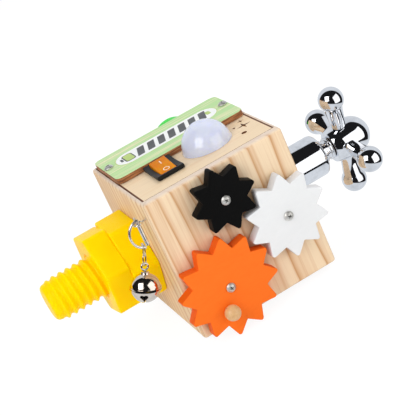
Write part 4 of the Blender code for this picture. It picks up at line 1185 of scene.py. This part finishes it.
@dataclass
class Tap(Assembly):
    """The chrome tap: collar, stepped bonnet, and the cross handle on its spindle."""

    face: Triple = (40 * MM, -4 * MM, 41 * MM)
    bore: float = 3.3 * MM
    collar: Pair = (11.5 * MM, 26.6 * MM)
    collar_round: float = 2.8 * MM
    bonnet: float = 6.2 * MM
    bonnet_end: float = 33 * MM
    step: float = 0.8 * MM
    hub: float = 10.4 * MM
    hub_skirt: float = 8.6 * MM
    hub_shares: tuple[Pair, ...] = ((1.0, 0.88), (1.0, 0.74), (0.99, 0.6), (0.975, 0.46), (0.95, 0.32),
                                    (0.915, 0.18), (0.87, 0.07))
    hub_end: float = 57 * MM
    hub_plane: float = 41.5 * MM
    arm_reach: float = 26.4 * MM
    arm_ball: float = 6.9 * MM
    arm_neck: float = math.radians(47)
    arm_waist: float = 3.9 * MM
    waist_height: float = 10.5 * MM
    waist_round: float = 12 * MM
    arm_root: float = 4.2 * MM
    arm_turn: float = math.radians(12)

    def body(self) -> None:
        """Turns the collar and the bonnet."""
        radius, length = self.collar
        collar = Piece.turned("tap_barrel", softened([
            (self.bore, length, 0), (radius, length, self.collar_round), (radius, GAP, 0.2 * MM),
            (self.bore, GAP, 0)], 8), 72, ring=True)
        collar.stand(Stand.RIGHT, self.face)
        collar.finished(self.paints["chrome"], "chrome", "block", ["tap_collar"])
        low, first, second, end = span(length + GAP, self.bonnet_end, 3)
        wide, neck = self.bonnet, self.bonnet - self.step
        bonnet = Piece.turned("tap_packing_ring", softened([
            (self.bore, end, 0), (wide, end, 0.5 * MM), (wide, second, 0.3 * MM), (neck, second, 0.15 * MM),
            (neck, first, 0.15 * MM), (wide, first, 0.3 * MM), (wide, low, 0.3 * MM),
            (self.bore, low, 0)], 4), 64, ring=True)
        bonnet.stand(Stand.RIGHT, self.face)
        bonnet.finished(self.paints["chrome"], "chrome", "block", ["tap_bonnet"])

    def arm_profile(self) -> list[Pair]:
        """Draws an arm from its ball's pole down its waist to the hub."""
        side = ball(self.arm_ball, 0.0, math.pi - self.arm_neck, 24, self.arm_reach)
        waist = (self.arm_waist, self.waist_height, self.waist_round)
        taper = softened([(*side[-1], 0), waist, (self.arm_root, 0.0, 0)], 6)
        return [*side, *taper[1:], (0.0, 0.0)]

    def handle(self) -> None:
        """Turns the hub and one arm, and joins four copies of the arm to it."""
        seat = self.bonnet_end + GAP
        shoulder = self.hub_end - self.hub
        side = [(self.hub * across, seat + (shoulder - seat) * up) for across, up in self.hub_shares]
        dome = ball(self.hub, 0.0, QUARTER, 16, shoulder)
        handle = Piece.turned("cross_handle", [*dome, *side, (self.hub_skirt, seat), (0.0, seat)], 64)
        handle.stand(Stand.RIGHT, self.face)
        pattern = Piece.turned("handle_arm", self.arm_profile(), 40)
        centre = (self.face[0] + self.hub_plane, self.face[1], self.face[2])
        for index in range(4):
            arm = pattern.copied("arm_%d" % index)
            handle.join(arm.stand((self.arm_turn + index * QUARTER, 0.0, 0.0), centre))
        pattern.discard()
        handle.finished(self.paints["chrome"], "chrome", "tap", ["tap_handle"], ROUND_CREASE)

    def build(self) -> None:
        """Models the tap and dresses its spindle and nut."""
        self.body()
        self.handle()
        self.dress("nickel", "tap_spindle", "tap_nut")


@dataclass
class BoltAndNut(Assembly):
    """The yellow toy bolt with its rolled thread, and the nut on it."""

    face: Triple = (-40 * MM, 4 * MM, 41 * MM)
    head_corner: float = 24.8 * MM
    nut_corner: float = 24.6 * MM
    head_end: float = 15.2 * MM
    nut_span: Pair = (15.3 * MM, 28.3 * MM)
    hex_round: float = 3 * MM
    chamfer: float = 0.7 * MM
    crest: float = 11.6 * MM
    root: float = 10.2 * MM
    pitch: float = 4.2 * MM
    reach: float = 57.2 * MM
    lead_in: float = 2.6 * MM
    fade: float = 3 * MM
    nut_turn: float = math.radians(13)
    bore: float = 11.95 * MM
    mouth: float = 13.95 * MM
    sink: float = 1.1 * MM

    def hexagon(self, name: str, corner: float, low: float, high: float) -> Piece:
        """Models a hexagonal prism with round corners and soft rims."""
        prism = Piece.rod(name, corner, low, high, 6)
        prism.edit().uprights(MM).round_edges(self.hex_round * math.tan(math.pi / 6), 6)
        prism.edges(lambda a, b: abs(a.z - b.z) < HAIR and min(a.xy.length, b.xy.length) > corner / 2)
        return prism.round_edges(self.chamfer, 4).merged().close()

    def shank(self) -> Piece:
        """Turns the shank in close rings, and raises a right-handed thread on them."""
        start = self.reach - self.lead_in
        low = self.head_end / 2
        rings = round((start - low) / self.pitch * 14)
        tip = arc(self.lead_in, QUARTER, 0.0, 8, (self.root - self.lead_in, start))
        side = [(self.root, height) for height in span(start, low, rings)[1:]]
        shank = Piece.turned("shank", [(0.0, self.reach), *tip, *side, (0.0, low)], 72)
        for vertex in shank.obj.data.vertices:
            x, y, z = vertex.co
            radius = math.hypot(x, y)
            if radius > self.root - HAIR:
                faded = max(0.0, min(1.0, (start - z) / self.fade))
                wave = 0.5 - 0.5 * math.cos(math.tau * z / self.pitch - math.atan2(y, x))
                grown = 1 + (self.crest - self.root) * faded * wave ** 1.2 / radius
                vertex.co = (x * grown, y * grown, z)
        return shank

    def build(self) -> None:
        """Models the bolt and its nut."""
        bolt = self.hexagon("toy_bolt", self.head_corner, GAP, self.head_end)
        bolt.join(self.shank()).stand(Stand.LEFT, self.face)
        bolt.finished(self.paints["yellow plastic"], "yellow_plastic", "block", ["bolt"], ROUND_CREASE)
        low, high = self.nut_span
        nut = self.hexagon("toy_nut", self.nut_corner, low, high)
        nut.cut(Piece.rod("bore", self.bore, low - MM, high + MM, 72))
        nut.cut(Piece.turned("sink", [(0.0, high + MM), (self.mouth, high + MM),
                                      (self.crest + GAP, high - self.sink), (0.0, high - self.sink)], 72))
        nut.spun(self.nut_turn).stand(Stand.LEFT, self.face)
        nut.finished(self.paints["yellow plastic"], "yellow_plastic", "nut", ["bolt_nut"], ROUND_CREASE)
        self.dress("screw steel", "bolt_screw_upper", "bolt_screw_lower")


@dataclass
class BellOnClasp(Assembly):
    """The screw eye, the lever clasp, the two chain links, and the jingle bell with its loop."""

    eye_y: float = -33.6 * MM
    clasp_x: float = -44.4 * MM
    clasp_z: float = 64.9 * MM
    out: float = 6.6 * MM
    rise: float = 7.3 * MM
    wire: float = 0.7 * MM
    clasp_wire: float = 0.55 * MM
    corner: float = 1.2 * MM
    stub: float = 1.6 * MM
    bow_end: float = 0.58 * MM
    tab: float = 1.9 * MM
    eye_ring: float = 2.2 * MM
    eye_wire: float = 0.45 * MM
    eye_z: float = 70.4825 * MM
    lever_top: float = 71.35 * MM
    lever_length: float = 10.53 * MM
    hang_angle: float = math.radians(22.7)
    hook_point: Triple = (-46.735 * MM, -33.6 * MM, 58.072 * MM)
    link_wire: float = 0.35 * MM
    link_length: float = 5.7 * MM
    upper_width: float = 2.8 * MM
    lower_width: float = 3.0 * MM
    loop: float = 1.7 * MM
    loop_wire: float = 0.55 * MM
    loop_stem: float = 0.45 * MM
    loop_foot: Pair = (1.2 * MM, 0.6 * MM)
    bell: float = 7.5 * MM
    wall: float = 0.6 * MM
    rim: float = 0.5 * MM
    neck: float = 2.3 * MM
    neck_height: float = 0.9 * MM
    twist: float = math.radians(27)
    slot_turn: float = math.radians(61)
    slot_width: float = 1.0 * MM
    stem: float = 0.5 * MM
    stem_length: float = 2.1 * MM
    shank: float = 0.7 * MM
    shank_length: float = 7.0 * MM
    bar_depth: float = 1.1 * MM
    bar_bevel: float = 0.75 * MM
    bar_turn: float = math.radians(-20)

    def station(self, distance: float) -> Vector:
        """Gives the place at a distance down the hanging line."""
        down = Vector((-math.sin(self.hang_angle), 0.0, -math.cos(self.hang_angle)))
        return Vector(self.hook_point) + down * distance

    def eye(self) -> None:
        """Models the screw eye: a ring, its thin stem, and its shank let into the wall."""
        ring = Piece.ring("eye_ring", self.eye_ring, self.eye_wire)
        ring.stand(Stand.UP, (self.clasp_x, self.eye_y, self.eye_z))
        shank = Piece.turned("shank", softened([
            (0.0, 0.0, 0), (self.stem, 0.0, 0.2 * MM), (self.stem, self.stem_length, 0),
            (self.shank, self.stem_length + 0.1 * MM, 0), (self.shank, self.shank_length, 0),
            (0.0, self.shank_length, 0)], 3), 24)
        ring.join(shank.stand(Stand.RIGHT, (self.clasp_x + self.eye_ring, self.eye_y, self.eye_z)))
        ring.finished(self.paints["clasp nickel"], "nickel", "block", ["screw_eye"], WIRE_CREASE)

    def hook(self) -> None:
        """Models the D: a wire ring made oval, cut off, and turned round at its foot."""
        hook = Piece.ring("clasp_bow", self.rise, self.wire, 96, 16)
        hook.stand(Stand.FRONT).edit()
        hook.points(lambda p: True).resize((self.out / self.rise, 1.0, 1.0))
        top = Vector((self.bow_end, 0.0, self.rise))
        foot = Vector((-self.corner, 0.0, -self.rise))
        along = (top - foot).normalized()
        bpy.ops.mesh.select_all(action="SELECT")
        bpy.ops.mesh.bisect(plane_co=tuple(foot), plane_no=(along.z, 0.0, -along.x), use_fill=True,
                            clear_outer=True)
        hook.faces(lambda c, n: c.z < -self.rise * 0.8 and n.x > 0.9)
        centre = (-self.corner, 0.0, self.corner - self.rise * 0.983)
        bpy.ops.mesh.spin(steps=6, angle=-QUARTER, center=centre, axis=(0, 1, 0))
        hook.extrude((0.0, 0.0, self.stub))
        hook.merged().close().stand(Stand.UP, (self.clasp_x, self.eye_y, self.clasp_z))
        low, high = self.clasp_z - self.rise, self.clasp_z + self.rise
        hook.join(self.bar("foot", (-MM, MM), (low + 0.6 * MM, low + self.corner + self.stub)))
        hook.join(self.bar("tab", (-MM, 0.2 * MM), (high, high + self.tab)))
        hook.finished(self.paints["clasp nickel"], "nickel", "clasp", ["clasp_hook"], WIRE_CREASE)

    def bar(self, name: str, across: Pair, height: Pair) -> Piece:
        """Models a length of flat bar, bevelled deeply on one side, as it stands in the clasp."""
        half = self.bar_depth / 2
        bar = Piece.block(name, (across[0], -half, height[0]), (across[1], half, height[1])).edit()
        bar.edges(lambda a, b: abs(a.z - b.z) > MM and a.x > 0.0 and a.y < 0.0).round_edges(self.bar_bevel, 1)
        bar.edges(lambda a, b: abs(a.z - b.z) > MM and a.x < 0.0).round_edges(0.2 * MM, 3).merged().close()
        return bar.stand((0.0, 0.0, self.bar_turn), (self.clasp_x, self.eye_y, 0.0))

    def lever(self) -> None:
        """Models the lever that closes the D."""
        lever = self.bar("clasp_gate", (-MM, MM), (self.lever_top - self.lever_length, self.lever_top))
        lever.finished(self.paints["lever nickel painted dark side"], "nickel", "lever", ["clasp_lever"], WIRE_CREASE)

    def link(self, name: str, node: str, body: str, top: float, width: float, twist: float) -> None:
        """Models a chain link from a wire ring whose lower half is drawn down.

        Args:
            name: The piece's name.
            node: The node that it replaces.
            body: The body that it rides on.
            top: Where its upper end is on the hanging line.
            width: How wide its wire's middle line is.
            twist: How far it is turned about the hanging line.
        """
        link = Piece.ring(name, width / 2, self.link_wire, 32, 12)
        link.stand(Stand.FRONT).edit()
        link.points(lambda p: p.z < -HAIR).shift((0.0, 0.0, width - self.link_length)).close()
        self.hung(link.spun(twist), top + width / 2)
        link.finished(self.paints["nickel"], "nickel", body, [node], WIRE_CREASE)

    def hung(self, piece: Piece, distance: float) -> Piece:
        """Sets a piece on the hanging line, its own +Z up along it."""
        return piece.stand((0.0, self.hang_angle, 0.0), self.station(distance))

    def bell_loop(self, centre: float, crown: float) -> None:
        """Models the bell's wire ring, its stem and the stem's foot inside the bell."""
        loop = Piece.ring("bell_ring", self.loop, self.loop_wire).stand(Stand.FRONT)
        drop = centre - crown - self.neck_height - self.wall - GAP
        foot, low = self.loop_foot[0], drop - self.loop_foot[1]
        stem = Piece.turned("stem", [(0.0, -self.loop), (self.loop_stem, -self.loop), (self.loop_stem, drop),
                                     (foot, drop), (foot, low), (0.0, low)], 24)
        self.hung(loop.join(stem), centre)
        loop.finished(self.paints["nickel"], "nickel", "bell", ["bell_loop"], WIRE_CREASE)

    def shell(self, crown: bool) -> Piece:
        """Turns half of the bell about its centre, its pole up and its rim rolled out."""
        inner = self.bell - self.wall
        edge = 0.1 * MM
        lip = edge + 0.6 * MM
        rim = math.acos(lip / self.bell)
        hole = 0.75 * MM
        start = math.asin(self.neck / self.bell) if crown else 0.0
        inner_start = math.asin(hole / inner) if crown else 0.0
        outside = ball(self.bell, start, rim, 20)
        inside = ball(inner, math.acos(edge / inner), inner_start, 20)
        wide, soft = self.bell + self.rim, 0.12 * MM
        roll = [(wide - soft, lip), (wide, lip - soft), (wide, edge)]
        if not crown:
            return Piece.turned("shell", [*outside, *roll, *inside], 64)
        top = self.bell + self.neck_height
        throat = softened([(hole, top, 0), (self.neck, top, 0.5 * MM),
                           (self.neck - 0.2 * MM, top - 0.6 * MM, 0.3 * MM), (*outside[0], 0)], 4)
        return Piece.turned("shell", [*throat[:-1], *outside, *roll, *inside], 64, ring=True)

    def heart(self) -> Piece:
        """Models the cutter for a slot's heart-shaped end, standing along +Z, its point along -X."""
        far, near = self.bell * 1.3, self.bell * 0.4
        lobe, point = 1.15 * MM, 2.9 * MM
        ahead, aside = 0.75 * MM, 0.9 * MM
        cutter = Piece.rod("heart", lobe, near, far, 32).stand(Stand.UP, (ahead, aside, 0.0))
        cutter.join(Piece.rod("lobe", lobe, near, far, 32).stand(Stand.UP, (ahead, -aside, 0.0)))
        wedge = Piece.rod("wedge", point * 2 / 3, near, far, 3)
        wedge.spun(QUARTER).edit().points(lambda p: True).resize((1.06, 1.14, 1.0)).close()
        return cutter.join(wedge.stand(Stand.UP, (-point / 3 + 0.45 * MM, 0.0, 0.0)))

    def half(self, shell: Piece, name: str, node: str, centre: float) -> None:
        """Hangs half of the bell in its place, under its own name."""
        self.hung(shell, centre)
        shell.obj.name = name
        shell.finished(self.paints["bell nickel painted dark inside"], "nickel", "bell", [node], ROUND_CREASE)

    def bell_body(self, centre: float) -> None:
        """Models the two shells, the lower one with its crossing slots and their open ends."""
        self.half(self.shell(True), "bell_dome", "bell_upper", centre)
        lower = self.shell(False)
        reach, half = self.bell * math.sin(self.slot_turn), self.slot_width / 2
        heart = self.heart()
        for turn in (0.0, QUARTER):
            slot = Piece.block("slot", (-reach, -half, self.bell * math.cos(self.slot_turn)),
                               (reach, half, self.bell * 1.2))
            lower.cut(slot.spun(self.twist + turn))
        for index in range(4):
            end = heart.copied("end").stand((0.0, self.slot_turn, 0.0))
            lower.cut(end.spun(self.twist + index * QUARTER))
        heart.discard()
        self.half(lower.stand(Stand.DOWN), "bell_bowl", "bell_lower", centre)

    def build(self) -> None:
        """Models everything that hangs from the left wall."""
        self.eye()
        self.hook()
        self.lever()
        upper_top = -self.clasp_wire - self.link_wire - GAP
        lower_top = upper_top + self.link_length - 2 * self.link_wire - GAP
        self.link("link_upper", "chain_link_upper", "upper_link", upper_top, self.upper_width, QUARTER)
        self.link("link_lower", "chain_link_lower", "lower_link", lower_top, self.lower_width, QUARTER / 2)
        centre = lower_top + self.link_length - self.link_wire - self.loop_stem - GAP + self.loop
        crown = centre + self.loop + self.loop_stem + GAP
        self.bell_loop(centre, crown)
        self.bell_body(crown + self.neck_height + self.bell)
        self.dress("dull iron", "bell_pellet")


@dataclass
class ScrewCap(Assembly):
    """The green cap on its ridged neck, on the back wall."""

    place: Triple = (13.3 * MM, 42.6 * MM, 65 * MM)
    radius: float = 13.2 * MM
    length: float = 15.4 * MM
    wall: float = 1.5 * MM

    def build(self) -> None:
        """Turns the cap and dresses its neck."""
        inner, roof = self.radius - self.wall, self.length - self.wall
        cap = Piece.turned("cap_shell", softened([
            (0.0, self.length, 0), (self.radius, self.length, 1.4 * MM), (self.radius, 0.0, 0.3 * MM),
            (inner, 0.0, 0.2 * MM), (inner, roof, 0.3 * MM), (0.0, roof, 0)], 6), 96)
        cap.stand(Stand.BACK, self.place)
        cap.finished(self.paints["green plastic"], "green_plastic", "cap", ["green_cap"])
        self.dress("green plastic", "cap_neck")
        self.dress("screw steel", "neck_screw")


@dataclass
class Studio:
    """The pale floor, the three soft lamps, the surroundings with their dark end, and the camera."""

    eye: Triple = (-0.164578, -0.647694, 0.329070)
    forward: Triple = (0.22586, 0.89181, -0.39200)
    above: Triple = (0.48929, 0.24410, 0.83726)
    lens: float = 120.37
    floor_height: float = -3.9 * MM
    target: Triple = (0.0, 0.0, 45 * MM)
    distance: float = 0.75

    def axes(self) -> tuple[Vector, Vector, Vector]:
        """Gives the camera's right, its up and the way back to it."""
        back = -Vector(self.forward).normalized()
        up = Vector(self.above)
        right = up.cross(back).normalized()
        return right, back.cross(right), back

    def camera(self) -> None:
        """Sets the camera where the photograph was taken from."""
        right, up, back = self.axes()
        data = bpy.data.cameras.new("camera")
        data.lens = self.lens
        data.sensor_width = 36
        data.clip_start = 0.01
        camera = bpy.data.objects.new("camera", data)
        bpy.context.scene.collection.objects.link(camera)
        turn = Matrix((right, up, back)).transposed().to_4x4()
        camera.matrix_world = Matrix.Translation(self.eye) @ turn
        bpy.context.scene.camera = camera

    def lamp(self, name: str, place: Triple, size: Pair, power: float) -> None:
        """Hangs a soft box.

        Args:
            name: Its name.
            place: Its direction from the object, by the camera's right, up and back.
            size: How wide and high it is.
            power: Its power in watts.
        """
        data = bpy.data.lights.new(name, "AREA")
        data.shape = "RECTANGLE"
        data.size, data.size_y = size
        data.energy = power
        lamp = bpy.data.objects.new(name, data)
        bpy.context.scene.collection.objects.link(lamp)
        way = sum((axis * share for axis, share in zip(self.axes(), place)), Vector()).normalized()
        lamp.location = Vector(self.target) + way * self.distance
        lamp.rotation_mode = "QUATERNION"
        lamp.rotation_quaternion = way.to_track_quat("Z", "Y")

    def floor(self) -> None:
        """Lays the pale floor, which the camera sees white but for the object's faint shadow."""
        bpy.ops.object.select_all(action="DESELECT")
        bpy.ops.mesh.primitive_plane_add(size=6, location=(0, 0, self.floor_height))
        plane = bpy.context.active_object
        plane.name = "floor"
        material = bpy.data.materials.new("floor white")
        material.use_nodes = True
        nodes = Nodes(material.node_tree)
        nodes.tree.nodes.clear()
        camera = nodes.add("ShaderNodeLightPath").outputs["Is Camera Ray"]
        seen = nodes.add("ShaderNodeMath", {0: camera, 1: 0.6, 2: 0.25}, operation="MULTIPLY_ADD")
        matt = nodes.add("ShaderNodeBsdfDiffuse", {"Color": (0.9, 0.9, 0.9, 1)})
        glow = nodes.add("ShaderNodeEmission", {"Color": (1, 1, 1, 1), "Strength": 1.08})
        mixed = {"Fac": seen.outputs[0], 1: matt.outputs[0], 2: glow.outputs[0]}
        mix = nodes.add("ShaderNodeMixShader", mixed)
        nodes.add("ShaderNodeOutputMaterial", {"Surface": mix.outputs[0]})
        plane.data.materials.append(material)
        plane.visible_glossy = False

    def world(self) -> None:
        """Makes the surroundings: white to the camera, and to metal a white room with a dark end."""
        world = bpy.data.worlds.new("studio")
        bpy.context.scene.world = world
        world.use_nodes = True
        nodes = Nodes(world.node_tree)
        nodes.tree.nodes.clear()
        ray = nodes.add("ShaderNodeTexCoord").outputs["Generated"]

        def facing(way: Vector, low: float, high: float) -> Any:
            """Gives 0 to 1 as a ray's direction comes to face a way."""
            dot = nodes.add("ShaderNodeVectorMath", {0: ray, 1: way}, operation="DOT_PRODUCT")
            return nodes.scale(dot.outputs["Value"], 0.0, 1.0, low, high)

        _, up, back = self.axes()
        overhead = facing(up * 0.924 + back * 0.383, -0.36, -0.32)
        nearside = facing(back * 0.857 - up * 0.515, -0.45, -0.41)
        dark = nodes.maths("MULTIPLY", overhead, nearside)
        room = nodes.mix(dark, (0.76, 0.79, 0.83, 1), (0.012, 0.012, 0.013, 1))
        mirrored = nodes.add("ShaderNodeBackground", {"Color": room})
        soft = nodes.add("ShaderNodeBackground", {"Color": (0.97, 0.98, 1.0, 1), "Strength": 0.42})
        white = nodes.add("ShaderNodeBackground", {"Color": (1, 1, 1, 1)})
        path = nodes.add("ShaderNodeLightPath").outputs
        seen = nodes.maths("MAXIMUM", path["Is Camera Ray"], path["Is Transmission Ray"])
        lit = nodes.add("ShaderNodeMixShader", {"Fac": path["Is Glossy Ray"], 1: soft.outputs[0],
                                                2: mirrored.outputs[0]})
        whole = nodes.add("ShaderNodeMixShader", {"Fac": seen, 1: lit.outputs[0], 2: white.outputs[0]})
        nodes.add("ShaderNodeOutputWorld", {"Surface": whole.outputs[0]})

    def build(self) -> None:
        """Sets up the floor, the light, the surroundings and the camera."""
        bpy.context.scene.view_settings.view_transform = "Standard"
        self.floor()
        self.world()
        self.lamp("soft box left", (-0.58, 0.11, 0.81), (0.48, 0.56), 2.8)
        self.lamp("soft box right", (0.77, 0.15, 0.62), (0.75, 0.85), 2.8)
        self.lamp("soft box above", (0.0, 0.98, -0.2), (1.0, 0.8), 3.2)
        bpy.data.objects["soft box above"].visible_glossy = False
        self.camera()
        log.info("studio ready")


def main() -> None:
    """Builds the object's pieces and the studio round them."""
    logging.basicConfig(level=logging.INFO, format="%(name)s: %(message)s")
    paints = Paintbox()
    for assembly in (Block, NamePlate, CrossScrew, Switch, Lamp, Power, GearTrain, Tap, BoltAndNut,
                     BellOnClasp, ScrewCap):
        assembly(paints).build()
    Studio().build()


if __name__ == "__main__":
    main()
